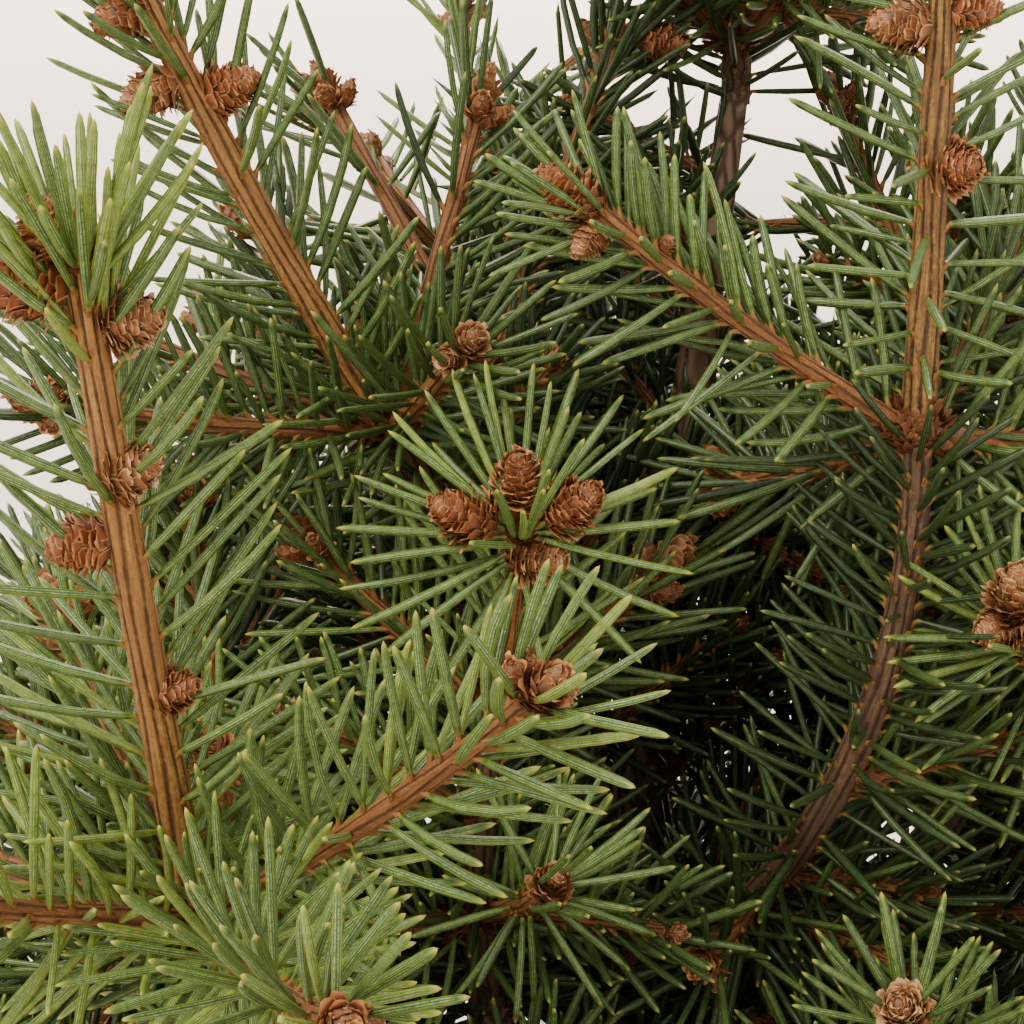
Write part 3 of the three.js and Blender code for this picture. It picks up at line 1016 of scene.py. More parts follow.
    def dress(self) -> None:
        """Give every twig its detail, and a painted-light tone: lighter further out and further up.
        """
        for number, twig in enumerate(self.twigs):
            points = twig.axis.samples()
            close = VIEW.sees(points, DRESS.close_margin, *DRESS.close_depths)
            twig.detail = Detail.CLOSE if close else Detail.FAR
            middle = twig.axis.at(0.5)
            reach = np.hypot(*(middle[:2] - TRUNK.lean_x / 2))
            # Painted light: twigs further out and higher up take lighter needle finishes.
            lit = ((reach - DRESS.reach) / DRESS.reach_span
                   + (middle[2] - DRESS.height) / DRESS.height_span)
            tone = DRESS.tone + DRESS.tone_rise * lit
            tone += Dice(DRESS.seed + number).around(DRESS.tone_spread)
            # Painted shade: a step darker behind the front shoots, and the darkest tone in the
            # hollows.
            tone -= DRESS.view_fall * VIEW.sees(points[2:], 0, *DRESS.view_depths)
            shaded = VIEW.in_rounds(points[2:], VIEW.hollows, *VIEW.shade_depths).any()
            twig.tone = 0 if shaded else int(np.clip(round(float(tone)), 0, NEEDLE_SHADE_STEPS - 1))

    def build(self) -> None:
        """Grow the skeleton, fill it and dress its twigs."""
        self.grow()
        self.list_twigs()
        self.fill()
        self.dress()


# ---- mesh drafts


@dataclass
class Draft:
    """Vertices and faces gathered for one piece, in millimetres."""

    points: list[Array] = field(default_factory=list)
    quads: list[Array] = field(default_factory=list)
    triangles: list[Array] = field(default_factory=list)
    spots: list[Array] = field(default_factory=list)
    quad_slots: list[Array] = field(default_factory=list)
    triangle_slots: list[Array] = field(default_factory=list)
    count: int = 0

    def add(self, points: Array, quads: Array | None = None, triangles: Array | None = None,
            spots: Array | None = None, slots: int | Array = 0) -> None:
        """Add a lump of vertices and faces.

        Args:
            points: its vertices.
            quads: faces of four corners, counted from its first vertex.
            triangles: faces of three corners, counted likewise.
            spots: place of each vertex on the fibre map, or None.
            slots: material of its faces, or one for each equal share of them.
        """
        points = points.reshape(-1, 3)
        self.points.append(points)
        self.spots.append(np.zeros((len(points), 2)) if spots is None else spots.reshape(-1, 2))
        for faces, kept, kept_slots in ((quads, self.quads, self.quad_slots),
                                        (triangles, self.triangles, self.triangle_slots)):
            if faces is not None and len(faces):
                kept.append(faces + self.count)
                kept_slots.append(np.repeat(slots, len(faces) // np.size(slots)).astype(np.int32))
        self.count += len(points)

    def add_copies(self, points: Array, quads: Array, triangles: Array, spots: Array,
                   slots: Array) -> None:
        """Add many lumps of one pattern.

        Args:
            points: lumps by vertices by 3.
            quads: the pattern's faces of four corners.
            triangles: the pattern's faces of three corners.
            spots: lumps by vertices by 2, places on the fibre map.
            slots: each lump's material.
        """
        first = (np.arange(len(points)) * points.shape[1])[:, None, None]
        self.add(points, (quads + first).reshape(-1, 4), (triangles + first).reshape(-1, 3),
                 spots, slots)

    def triangle_count(self) -> int:
        """How many triangles the faces come to."""
        return 2 * sum(len(q) for q in self.quads) + sum(len(t) for t in self.triangles)

    def build(self, name: str, materials: list[bpy.types.Material], smooth: bool = True,
              mapped: bool = True) -> bpy.types.Object:
        """Make the object.

        Args:
            name: its name.
            materials: its materials, by slot.
            smooth: whether its faces are shaded smooth.
            mapped: whether it gets the fibre map.

        Returns:
            The new object, which rides on nothing yet.
        """
        quads = np.concatenate([NO_QUADS, *self.quads])
        triangles = np.concatenate([NO_TRIANGLES, *self.triangles])
        corners = np.concatenate([quads.ravel(), triangles.ravel()]).astype(np.int32)
        sizes = np.concatenate([np.full(len(quads), 4), np.full(len(triangles), 3)])
        starts = np.concatenate([[0], np.cumsum(sizes)[:-1]]).astype(np.int32)
        mesh = bpy.data.meshes.new(name)
        mesh.vertices.add(self.count)
        places = (np.concatenate(self.points) * MM).astype(np.float32)
        mesh.vertices.foreach_set("co", places.ravel())
        mesh.loops.add(len(corners))
        mesh.loops.foreach_set("vertex_index", corners)
        mesh.polygons.add(len(sizes))
        mesh.polygons.foreach_set("loop_start", starts)
        mesh.polygons.foreach_set("material_index", np.concatenate(
            [*self.quad_slots, *self.triangle_slots]).astype(np.int32))
        mesh.polygons.foreach_set("use_smooth", np.full(len(sizes), smooth))
        if mapped:
            layer = mesh.uv_layers.new(name=FIBRE_MAP)
            spots = np.concatenate(self.spots)[corners]
            layer.uv.foreach_set("vector", spots.astype(np.float32).ravel())
        mesh.update(calc_edges=True)
        mesh.validate()
        for material in materials:
            mesh.materials.append(material)
        piece = bpy.data.objects.new(name, mesh)
        bpy.context.scene.collection.objects.link(piece)
        return piece


def add_rings(draft: Draft, points: Array, rings: int, sides: int) -> None:
    """Add rings of points, closed by the last two points of the list.

    Args:
        draft: the piece they go into.
        points: the rings' points, then the two middle points.
        rings: how many gaps there are between the rings.
        sides: how many points each ring has.
    """
    foot = fan(0, sides, len(points) - 2)[:, [1, 0, 2]]
    head = fan(rings * sides, sides, len(points) - 1)
    draft.add(points, ring_faces(rings, sides), np.vstack([foot, head]))


def settle(piece: bpy.types.Object, nodes: list[str] | None = None) -> None:
    """Let a piece ride on the plant and report it.

    Args:
        piece: the finished piece.
        nodes: names of the solids it stands for.
    """
    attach(piece, BODY)
    if nodes:
        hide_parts(*nodes)
    faces = len(piece.data.polygons)
    log.info("%s: %d faces, %d solids replaced", piece.name, faces, len(nodes or []))


# ---- shader maths


class Signal:
    """A socket that numbers flow from, with Python's operators as Math nodes."""

    def __init__(self, sketch: "Sketch", socket: bpy.types.NodeSocket) -> None:
        """Wrap an output socket of a sketch."""
        self.sketch = sketch
        self.socket = socket

    def __add__(self, other: "Signal | float") -> "Signal":
        """Sum."""
        return self.sketch.math("ADD", self, other)

    def __radd__(self, other: float) -> "Signal":
        """Sum, from the right."""
        return self.sketch.math("ADD", other, self)

    def __sub__(self, other: "Signal | float") -> "Signal":
        """Difference."""
        return self.sketch.math("SUBTRACT", self, other)

    def __rsub__(self, other: float) -> "Signal":
        """Difference, from the right."""
        return self.sketch.math("SUBTRACT", other, self)

    def __mul__(self, other: "Signal | float") -> "Signal":
        """Product."""
        return self.sketch.math("MULTIPLY", self, other)

    def __rmul__(self, other: float) -> "Signal":
        """Product, from the right."""
        return self.sketch.math("MULTIPLY", other, self)

    def __abs__(self) -> "Signal":
        """Size without its sign."""
        return self.sketch.math("ABSOLUTE", self)

    def fraction(self) -> "Signal":
        """The part after the point."""
        return self.sketch.math("FRACT", self)

    def beside(self, output: int) -> "Signal":
        """Another output of the same node."""
        return Signal(self.sketch, self.socket.node.outputs[output])


Value = Signal | float | Colour


class Sketch:
    """The node tree of one material."""

    def __init__(self, name: str) -> None:
        """Start a material with one Principled shader.

        Args:
            name: the material's name.
        """
        self.material = bpy.data.materials.new(name)
        self.material.use_nodes = True
        self.tree = self.material.node_tree
        self.tree.nodes.clear()
        self.shader = self.tree.nodes.new("ShaderNodeBsdfPrincipled")
        output = self.tree.nodes.new("ShaderNodeOutputMaterial")
        self.tree.links.new(self.shader.outputs[0], output.inputs["Surface"])

    def feed(self, socket: bpy.types.NodeSocket, value: Value) -> None:
        """Give a socket what it takes.

        Args:
            socket: the socket.
            value: a signal to link to it, or its own value.
        """
        if isinstance(value, Signal):
            self.tree.links.new(value.socket, socket)
        elif isinstance(value, tuple):
            socket.default_value = (*value, 1.0) if socket.type == "RGBA" else value
        else:
            socket.default_value = value

    def node(self, kind: str, settings: dict[str, object] | None = None,
             sockets: dict[str | int, Value] | None = None, output: str | int = 0) -> Signal:
        """Add one node.

        Args:
            kind: the node's type, without its ShaderNode prefix.
            settings: its settings.
            sockets: values or signals of its inputs, by name or number.
            output: the output to return.

        Returns:
            The signal from that output.
        """
        made = self.tree.nodes.new(f"ShaderNode{kind}")
        for key, value in (settings or {}).items():
            setattr(made, key, value)
        for key, value in (sockets or {}).items():
            self.feed(made.inputs[key], value)
        return Signal(self, made.outputs[output])

    def math(self, operation: str, *values: Signal | float) -> Signal:
        """A Math node."""
        return self.node("Math", {"operation": operation}, dict(enumerate(values)))

    def ramp(self, value: Signal, low: float, high: float) -> Signal:
        """A smooth step from 0 at low to 1 at high."""
        return self.node("MapRange", {"interpolation_type": "SMOOTHSTEP"},
                         {"Value": value, "From Min": low, "From Max": high})

    def mix(self, share: Signal | float, first: Value, second: Value) -> Signal:
        """A blend of two colours."""
        return self.node("Mix", {"data_type": "RGBA"}, {0: share, 6: first, 7: second}, 2)

    def place(self, scale: Triple = (1, 1, 1)) -> Signal:
        """The point on the object, in metres, stretched by a scale."""
        spot = self.node("TexCoord", output="Object")
        return self.node("VectorMath", {"operation": "MULTIPLY"}, {0: spot, 1: scale})

    def fibre(self) -> tuple[Signal, Signal]:
        """The two coordinates of the fibre map.

        Returns:
            Across the fibres and along them.
        """
        spot = self.node("UVMap", {"uv_map": FIBRE_MAP})
        across = self.node("SeparateXYZ", {}, {0: spot})
        return across, across.beside(1)

    def grain(self, spot: Signal, scale: float, detail: float = 3.0,
              roughness: float = 0.55) -> Signal:
        """Noise from 0 to 1."""
        return self.node("TexNoise", {}, {"Vector": spot, "Scale": scale, "Detail": detail,
                                          "Roughness": roughness})

    def fibres(self, across: Signal, along: Signal, layer: float, detail: float = 3.0,
               scale: float = 1.0, roughness: float = 0.55) -> Signal:
        """Noise on the fibre map; each layer has its own pattern."""
        spot = self.node("CombineXYZ", {}, {0: across, 1: along, 2: layer})
        return self.grain(spot, scale, detail, roughness)

    def bump(self, height: Signal, distance: float, strength: float = 1.0) -> Signal:
        """A normal from a height."""
        return self.node("Bump", {}, {"Height": height, "Distance": distance,
                                      "Strength": strength})

    def finish(self, **sockets: Value) -> bpy.types.Material:
        """Feed the shader.

        Args:
            sockets: its inputs by name, with _ for a space.

        Returns:
            The finished material.
        """
        for key, value in sockets.items():
            name = "IOR" if key == "ior" else key.replace("_", " ").title()
            self.feed(self.shader.inputs[name], value)
        return self.material


# ---- finishes


@dataclass(frozen=True)
class NeedleFinish:
    """Waxy green faces, two dashed pale lines on each face, a light tip and painted highlights.

    The highlight is the ridge colour, along the needle's edges and in random patches on its faces.
    """

    face: Colour
    # Painted highlight: the colour of the needle's edges and of random patches on its faces.
    ridge: Colour
    bloom: Colour
    tip: Colour
    foot: Colour = (0.30, 0.24, 0.05)
    roughness: float = 0.38

    def material(self, name: str) -> bpy.types.Material:
        """Build the material.

        Args:
            name: its name.

        Returns:
            The material.
        """
        sketch = Sketch(name)
        across, along = sketch.fibre()
        lane = (across * NEEDLE_SHADE_STEPS).fraction()
        edge = abs(lane - 0.5) * 2.0
        ridge = sketch.ramp(edge, 0.6, 0.95)
        line = 1.0 - sketch.ramp(abs(edge - 0.33), 0.06, 0.24)
        speck = sketch.fibres(across * 60.0, along * 80.0, 0.0, roughness=0.65)
        coarse = sketch.fibres(across * 12.0, along * 19.0, 7.0, 2.0)
        dash = sketch.ramp(speck * 0.7 + coarse * 0.3, 0.42, 0.57)
        fade = sketch.ramp(along, 0.03, 0.16) * (1.0 - sketch.ramp(along, 0.84, 0.95))
        patch = sketch.fibres(across * 4.0, along * 7.0, 3.0, 2.0)
        # Painted highlight: the ridge colour along the edges and in random patches over the faces.
        colour = sketch.mix(ridge * 0.85, self.face, self.ridge)
        colour = sketch.mix(sketch.ramp(patch, 0.45, 0.75) * 0.3, colour, self.ridge)
        colour = sketch.mix(line * dash * fade * (patch * 0.6 + 0.55), colour, self.bloom)
        colour = sketch.mix(sketch.ramp(along, 0.9, 0.99) * 0.8, colour, self.tip)
        colour = sketch.mix(1.0 - sketch.ramp(along, 0.0, 0.07), colour, self.foot)
        return sketch.finish(base_color=colour, roughness=self.roughness, ior=1.45)


# The ribs of a twig's bark sway by a share of a rib, so often along it and so far on round it.
RIB_SWAY, RIB_RATE, RIB_LAG = 0.16, 15.0, 12.566


@dataclass(frozen=True)
class TwigFinish:
    """Bark of young twigs: long raised ribs, with painted shade darkening the grooves between them.
    """

    # The pale streak colour: partly the bark's own, partly painted highlight on raised fibres.
    light: Colour
    middle: Colour
    # The painted shade in the grooves.
    groove: Colour
    ridges: int

    @staticmethod
    def tone_of(twig: Twig) -> int:
        """The place of a twig's bark in the list of finishes.

        Args:
            twig: the twig.

        Returns:
            Its number, which is also its place on the fibre map.
        """
        # Painted shade: the right leader's leader takes a darker copy of the leader bark.
        if twig.kind is Kind.LEADER and twig.mass == "right_leader":
            return 3
        return {Kind.LEADER: 0, Kind.STEM: 2}.get(twig.kind, 1)

    @staticmethod
    def lane_run(lanes: Array, along: Array, lane: Array) -> Array:
        """The ribs' running count round the twig, as geometry and shader both have it."""
        return lanes + RIB_SWAY * np.sin(along * RIB_RATE + RIB_LAG * lane)

    def material(self, name: str) -> bpy.types.Material:
        """Build the material.

        Args:
            name: its name.

        Returns:
            The material.
        """
        sketch = Sketch(name)
        across, along = sketch.fibre()
        lane = ((across * float(TWIG_TONES)).fraction() - 0.02) * (1 / 0.96)
        wander = sketch.math("SINE", along * RIB_RATE + lane * RIB_LAG) * RIB_SWAY
        wave = abs((lane * float(self.ridges) + wander).fraction() - 0.5) * 2.0
        fleck = sketch.fibres(lane * 7.0, along * 9.0, 0.0, 5.0, 2.2, 0.62)
        fibre = sketch.fibres(lane * 60.0, along * 9.0, 0.0)
        grit = sketch.fibres(lane * 30.0, along * 90.0, 4.0)
        # Painted shade: the grooves between the ribs turn near black.
        groove = 1.0 - sketch.ramp(wave + (fleck - 0.5) * 0.5 + (grit - 0.5) * 0.4, 0.1, 0.34)
        # Paler along streaks that the bump also raises: partly the bark's own streaks, partly
        # painted highlight.
        streak = fleck * 0.35 + fibre * 0.35 + grit * 0.3
        rib = sketch.fibres(lane * 9.0, along * 5.0, 8.0, 1.0)
        colour = sketch.mix(sketch.ramp(streak, 0.42, 0.58), self.middle, self.light)
        colour = sketch.mix(sketch.ramp(rib, 0.44, 0.58) * 0.65, colour, self.middle)
        colour = sketch.mix(groove * 0.85, colour, self.groove)
        height = sketch.ramp(wave, 0.0, 0.5) + fibre * 0.5 + fleck * 0.3 + grit * 0.4
        return sketch.finish(base_color=colour, roughness=0.68,
                             normal=sketch.bump(height, 0.00025, 1.0))


@dataclass(frozen=True)
class ScaleFinish:
    """Papery bud scales: pale along a ragged edge, and dark at the root.

    The dark root is painted shade, where the scale above covers it.
    """

    # The painted shade at the scale's root.
    root: Colour
    middle: Colour
    edge: Colour
    edge_share: float

    def material(self, name: str) -> bpy.types.Material:
        """Build the material.

        Args:
            name: its name.

        Returns:
            The material.
        """
        sketch = Sketch(name)
        across, along = sketch.fibre()
        lane = (across * float(SCALE_CELLS)).fraction()
        fibre = sketch.fibres(lane * 6.0, along * 2.0, 0.0, 4.0, 3.0)
        rim = abs(lane - 0.5) * 2.0
        border = sketch.math("MAXIMUM", sketch.ramp(rim, 0.56, 1.0), sketch.ramp(along, 0.64, 1.0))
        ragged = sketch.ramp(border + (fibre - 0.5) * 1.1, 0.36, 0.8)
        streak = sketch.fibres(lane * 34.0, along * 4.0, 5.0)
        # Painted shade: dark at each scale's root, where the scale above covers it, lightening to
        # its middle.
        colour = sketch.mix(sketch.ramp(along, 0.05, 0.6), self.root, self.middle)
        colour = sketch.mix(sketch.ramp(streak, 0.44, 0.62) * 0.22, colour, self.edge)
        colour = sketch.mix(ragged * self.edge_share, colour, self.edge)
        return sketch.finish(base_color=colour, roughness=0.6)


@dataclass(frozen=True)
class BarkFinish:
    """Flaky brown bark of the trunk and boughs, with grey plates and painted shade in the cracks.
    """

    brown: Colour = (0.235, 0.125, 0.062)
    grey: Colour = (0.30, 0.22, 0.155)
    crack: Colour = (0.055, 0.028, 0.014)

    def material(self, name: str) -> bpy.types.Material:
        """Build the material.

        Args:
            name: its name.

        Returns:
            The material.
        """
        sketch = Sketch(name)
        stretched = sketch.place((1.0, 1.0, 0.42))
        plates = sketch.node("TexVoronoi", {"feature": "DISTANCE_TO_EDGE"},
                             {"Vector": stretched, "Scale": 420.0, "Randomness": 0.95})
        fleck = sketch.grain(stretched, 700.0, 4.0)
        patch = sketch.grain(sketch.place(), 90.0, 3.0)
        # Painted shade: the cracks between the plates turn near black.
        crack = 1.0 - sketch.ramp(plates + (fleck - 0.5) * 0.16, 0.03, 0.17)
        colour = sketch.mix(sketch.ramp(patch, 0.38, 0.66), self.brown, self.grey)
        colour = sketch.mix(crack * 0.85, colour, self.crack)
        height = sketch.ramp(plates, 0.0, 0.25) + fleck * 0.5
        return sketch.finish(base_color=colour, roughness=0.85,
                             normal=sketch.bump(height, 0.0006, 0.8))


@dataclass(frozen=True)
class ClayFinish:
    """Fired clay: warm, mottled, faintly turned, with a pale bloom of lime low down."""

    warm: Colour = (0.40, 0.118, 0.040)
    pale: Colour = (0.50, 0.195, 0.082)
    dark: Colour = (0.23, 0.068, 0.024)
    lime: Colour = (0.58, 0.40, 0.28)

    def material(self, name: str) -> bpy.types.Material:
        """Build the material.

        Args:
            name: its name.

        Returns:
            The material.
        """
        sketch = Sketch(name)
        spot = sketch.place()
        mottle = sketch.grain(spot, 22.0, 5.0, 0.6)
        speck = sketch.grain(spot, 520.0, 3.0, 0.7)
        rings = sketch.grain(sketch.place((0.12, 0.12, 1.0)), 260.0, 3.0)
        cloud = sketch.grain(sketch.place((1.0, 1.0, 0.5)), 13.0, 4.0)
        height = sketch.node("SeparateXYZ", {}, {0: spot}, 2)
        low = 1.0 - sketch.ramp(height, 0.004, 0.075)
        band = sketch.ramp(height, 0.085, 0.1) * (1.0 - sketch.ramp(height, 0.1, 0.112))
        colour = sketch.mix(sketch.ramp(mottle, 0.34, 0.68), self.warm, self.pale)
        colour = sketch.mix(sketch.ramp(speck, 0.58, 0.7) * 0.7, colour, self.dark)
        colour = sketch.mix(sketch.ramp(rings, 0.42, 0.62) * 0.16, colour, self.dark)
        bloom = sketch.ramp(cloud, 0.46, 0.7) * (low * 0.5 + band * 0.35 + 0.08)
        colour = sketch.mix(bloom, colour, self.lime)
        relief = speck * 0.5 + rings * 0.9 + mottle * 0.5
        return sketch.finish(base_color=colour, roughness=0.72 + speck * 0.2,
                             normal=sketch.bump(relief, 0.0012, 0.8))


@dataclass(frozen=True)
class SoilFinish:
    """Dark potting soil with bits of bark."""

    dark: Colour = (0.022, 0.013, 0.008)
    brown: Colour = (0.085, 0.048, 0.026)
    grain: float = 650.0

    def material(self, name: str) -> bpy.types.Material:
        """Build the material.

        Args:
            name: its name.

        Returns:
            The material.
        """
        sketch = Sketch(name)
        spot = sketch.place()
        fleck = sketch.grain(spot, self.grain, 4.0, 0.65)
        patch = sketch.grain(spot, 120.0, 3.0)
        share = sketch.ramp(fleck * 0.6 + patch * 0.4, 0.36, 0.66)
        colour = sketch.mix(share, self.dark, self.brown)
        return sketch.finish(base_color=colour, roughness=0.95,
                             normal=sketch.bump(fleck, 0.0008, 0.9))


@dataclass(frozen=True)
class FloorFinish:
    """Matt pale floor."""

    pale: Colour = (0.86, 0.785, 0.70)
    shade: Colour = (0.83, 0.75, 0.66)

    def material(self, name: str) -> bpy.types.Material:
        """Build the material.

        Args:
            name: its name.

        Returns:
            The material.
        """
        sketch = Sketch(name)
        cloud = sketch.grain(sketch.place(), 1.4, 3.0)
        return sketch.finish(base_color=sketch.mix(cloud, self.pale, self.shade), roughness=0.9)


# Five lit and shaded copies of one needle green, darkest first: painted light and shade, picked by
# each twig's tone.
NEEDLE_LIGHT_AND_SHADE = (
    NeedleFinish((0.009, 0.024, 0.005), (0.048, 0.078, 0.006), (0.12, 0.18, 0.07),
                 (0.20, 0.21, 0.04)),
    NeedleFinish((0.018, 0.046, 0.008), (0.108, 0.166, 0.011), (0.24, 0.33, 0.14),
                 (0.34, 0.34, 0.06)),
    NeedleFinish((0.027, 0.068, 0.011), (0.182, 0.262, 0.016), (0.34, 0.44, 0.21),
                 (0.45, 0.43, 0.07)),
    NeedleFinish((0.040, 0.096, 0.014), (0.270, 0.360, 0.021), (0.43, 0.53, 0.27),
                 (0.52, 0.48, 0.08)),
    NeedleFinish((0.086, 0.156, 0.016), (0.365, 0.430, 0.030), (0.46, 0.55, 0.27),
                 (0.54, 0.50, 0.08)),
)
TWIG_FINISHES = {
    "leader_bark": TwigFinish((0.44, 0.215, 0.052), (0.24, 0.098, 0.022), (0.06, 0.02, 0.005), 9),
    "shoot_bark": TwigFinish((0.36, 0.15, 0.040), (0.19, 0.066, 0.017), (0.07, 0.022, 0.007), 7),
    "old_bark": TwigFinish((0.17, 0.09, 0.045), (0.085, 0.042, 0.019), (0.026, 0.012, 0.006), 8),
    # A darker copy of the leader bark for the right leader's leader: painted shade.
    "golden_bark": TwigFinish((0.33, 0.172, 0.032), (0.125, 0.054, 0.011), (0.03, 0.01, 0.003), 9),
}
# The first colour of each is the scales' dark root: painted shade where they overlap.
SCALE_FINISHES = {
    "bud_scales_red": ScaleFinish((0.055, 0.014, 0.006), (0.26, 0.066, 0.022),
                                  (0.58, 0.29, 0.10), 0.74),
    "bud_scales_tan": ScaleFinish((0.07, 0.023, 0.009), (0.30, 0.102, 0.034),
                                  (0.62, 0.36, 0.15), 0.76),
    "collar_scales": ScaleFinish((0.03, 0.011, 0.005), (0.17, 0.056, 0.017),
                                 (0.38, 0.16, 0.05), 0.6),
}
SCALE_CELLS = len(SCALE_FINISHES)
SOIL_FINISHES = {
    "soil": SoilFinish(),
    "bark_bits": SoilFinish((0.05, 0.026, 0.014), (0.17, 0.09, 0.045), 380.0),
    "pale_grit": SoilFinish((0.30, 0.27, 0.23), (0.48, 0.45, 0.40), 300.0),
}


# ---- needles


@dataclass(frozen=True)
class Growth:
    """How one kind of twig is built: millimetres, needles to the millimetre, degrees.

    Sides and ring steps are for a close twig and for a far one.
    """

    foot_radius: float
    tip_radius: float
    density: float
    needle: float
    begin: float
    end: float
    foot_angle: float
    tip_angle: float
    sides: tuple[int, int] = (12, 5)
    ring_step: Pair = (3.0, 9.0)
    ridges: int = 6

    def radius(self, share: float | Array) -> float | Array:
        """The limb's radius at shares of its length."""
        return self.foot_radius + (self.tip_radius - self.foot_radius) * share


GROWTH = {
    Kind.LEADER: Growth(1.75, 1.4, 1.5, 15.0, 0.05, 1.0, 74, 40, (54, 8), (1.1, 6.0), 9),
    Kind.SHOOT: Growth(1.12, 0.92, 2.1, 14.0, 0.05, 1.0, 72, 33, (24, 6), (1.6, 7.0), 6),
    Kind.FINE: Growth(0.82, 0.68, 1.9, 12.0, 0.08, 1.0, 68, 30, (8, 5), (3.0, 9.0), 4),
    Kind.STEM: Growth(1.9, 1.45, 1.9, 13.5, 0.02, 0.98, 78, 60, (24, 7), (1.8, 6.0), 8),
    Kind.BOUGH: Growth(3.0, 1.9, 1.0, 12.0, 0.35, 1.0, 76, 66),
}

Placed = tuple[float, float, float, float, float]


@dataclass(frozen=True)
class HeroShoot:
    """How the needles of one front shoot differ from its kind's.

    Each placed needle is the place of its foot and that of its tip in the front view, and how far
    its tip leans towards the eye, from -1 to 1. A tuft is a number of upright needles about the
    shoot's tip. The tone, where given, is its needles' step of painted light and shade.
    """

    tip_angle: float = 33
    foot_angle: float = 72
    density: float = 2.0
    needle: float = 15.0
    thinned: float = 0.45
    until: float = 1.0
    facing: float = 1.1
    tone: int | None = None
    tuft: int = 0
    placed: tuple[Placed, ...] = ()


CENTRE_ROSETTE = (
    (506, 528, 424, 389, 0.0), (506, 524, 452, 368, -0.3), (508, 522, 473, 372, 0.3),
    (508, 520, 485, 359, -0.2), (510, 518, 502, 390, -0.8), (510, 516, 511, 408, -0.8),
    (514, 520, 534, 361, -0.2), (516, 520, 551, 380, 0.3), (518, 522, 579, 368, -0.4),
    (520, 522, 569, 406, 0.7), (518, 524, 582, 411, -0.8), (520, 524, 585, 438, 0.7),
    (522, 526, 624, 394, -0.3), (520, 528, 605, 443, -0.9), (522, 530, 645, 428, 0.2),
    (524, 532, 679, 467, 0.1), (522, 536, 658, 488, -0.6), (524, 538, 681, 521, -0.1),
    (524, 540, 695, 574, 0.3), (522, 548, 680, 617, -0.5), (520, 552, 642, 664, 0.1),
    (504, 532, 392, 411, 0.1), (502, 534, 387, 430, 0.5), (506, 532, 432, 442, -0.9),
    (500, 536, 353, 475, 0.1), (502, 536, 382, 473, -0.7), (500, 540, 357, 497, -0.5),
    (500, 540, 335, 528, 0.3), (500, 544, 349, 563, 0.2), (500, 552, 349, 630, 0.2),
    (498, 560, 384, 655, 0.4), (502, 566, 470, 672, 0.5), (498, 556, 338, 589, -0.4),
    (504, 540, 469, 543, 1.0), (506, 532, 496, 489, 1.0), (520, 534, 544, 489, 1.0),
    (516, 532, 523, 511, 1.0), (522, 526, 550, 469, 0.9), (512, 566, 548, 690, 0.2),
    (508, 575, 430, 700, -0.3),
)
LOWER_ROSETTE = (
    (532, 868, 651, 808, 0.2), (536, 870, 645, 827, 0.5), (540, 868, 592, 847, 0.9),
    (536, 866, 570, 856, 1.0), (534, 868, 641, 841, -0.5), (540, 870, 677, 867, 0.1),
    (540, 884, 636, 911, 0.5), (538, 892, 590, 917, 0.9), (534, 898, 561, 904, 1.0),
    (538, 888, 658, 937, -0.4), (536, 894, 631, 972, -0.3), (532, 898, 603, 1008, 0.2),
    (524, 902, 534, 1007, -0.5), (518, 898, 515, 1026, 0.0), (520, 902, 476, 989, 0.5),
    (512, 892, 451, 1003, 0.1), (518, 880, 442, 876, 0.8), (514, 872, 420, 852, -0.1),
    (512, 884, 410, 938, 0.3), (524, 862, 476, 768, 0.1), (530, 862, 602, 774, 0.1),
    (532, 862, 612, 793, -0.4), (528, 860, 560, 772, -0.5),
)
RIGHT_ROSETTE = (
    (1026, 634, 903, 560, 0.3), (1026, 638, 898, 575, 0.0), (1026, 642, 910, 629, -0.3),
    (1026, 648, 887, 663, 0.1), (1026, 652, 893, 688, 0.3), (1024, 646, 915, 723, 0.5),
    (1028, 660, 914, 731, -0.5), (1032, 668, 921, 772, 0.2), (1032, 672, 903, 762, -0.4),
    (1034, 680, 989, 785, 0.4), (1040, 690, 937, 829, 0.0), (1040, 690, 929, 822, -0.4),
    (1030, 620, 980, 484, 0.1), (1028, 624, 945, 525, 0.2), (1030, 616, 983, 548, -0.8),
    (1034, 614, 1020, 491, 0.0), (1028, 640, 989, 646, 1.0), (1044, 700, 1000, 850, 0.3),
)
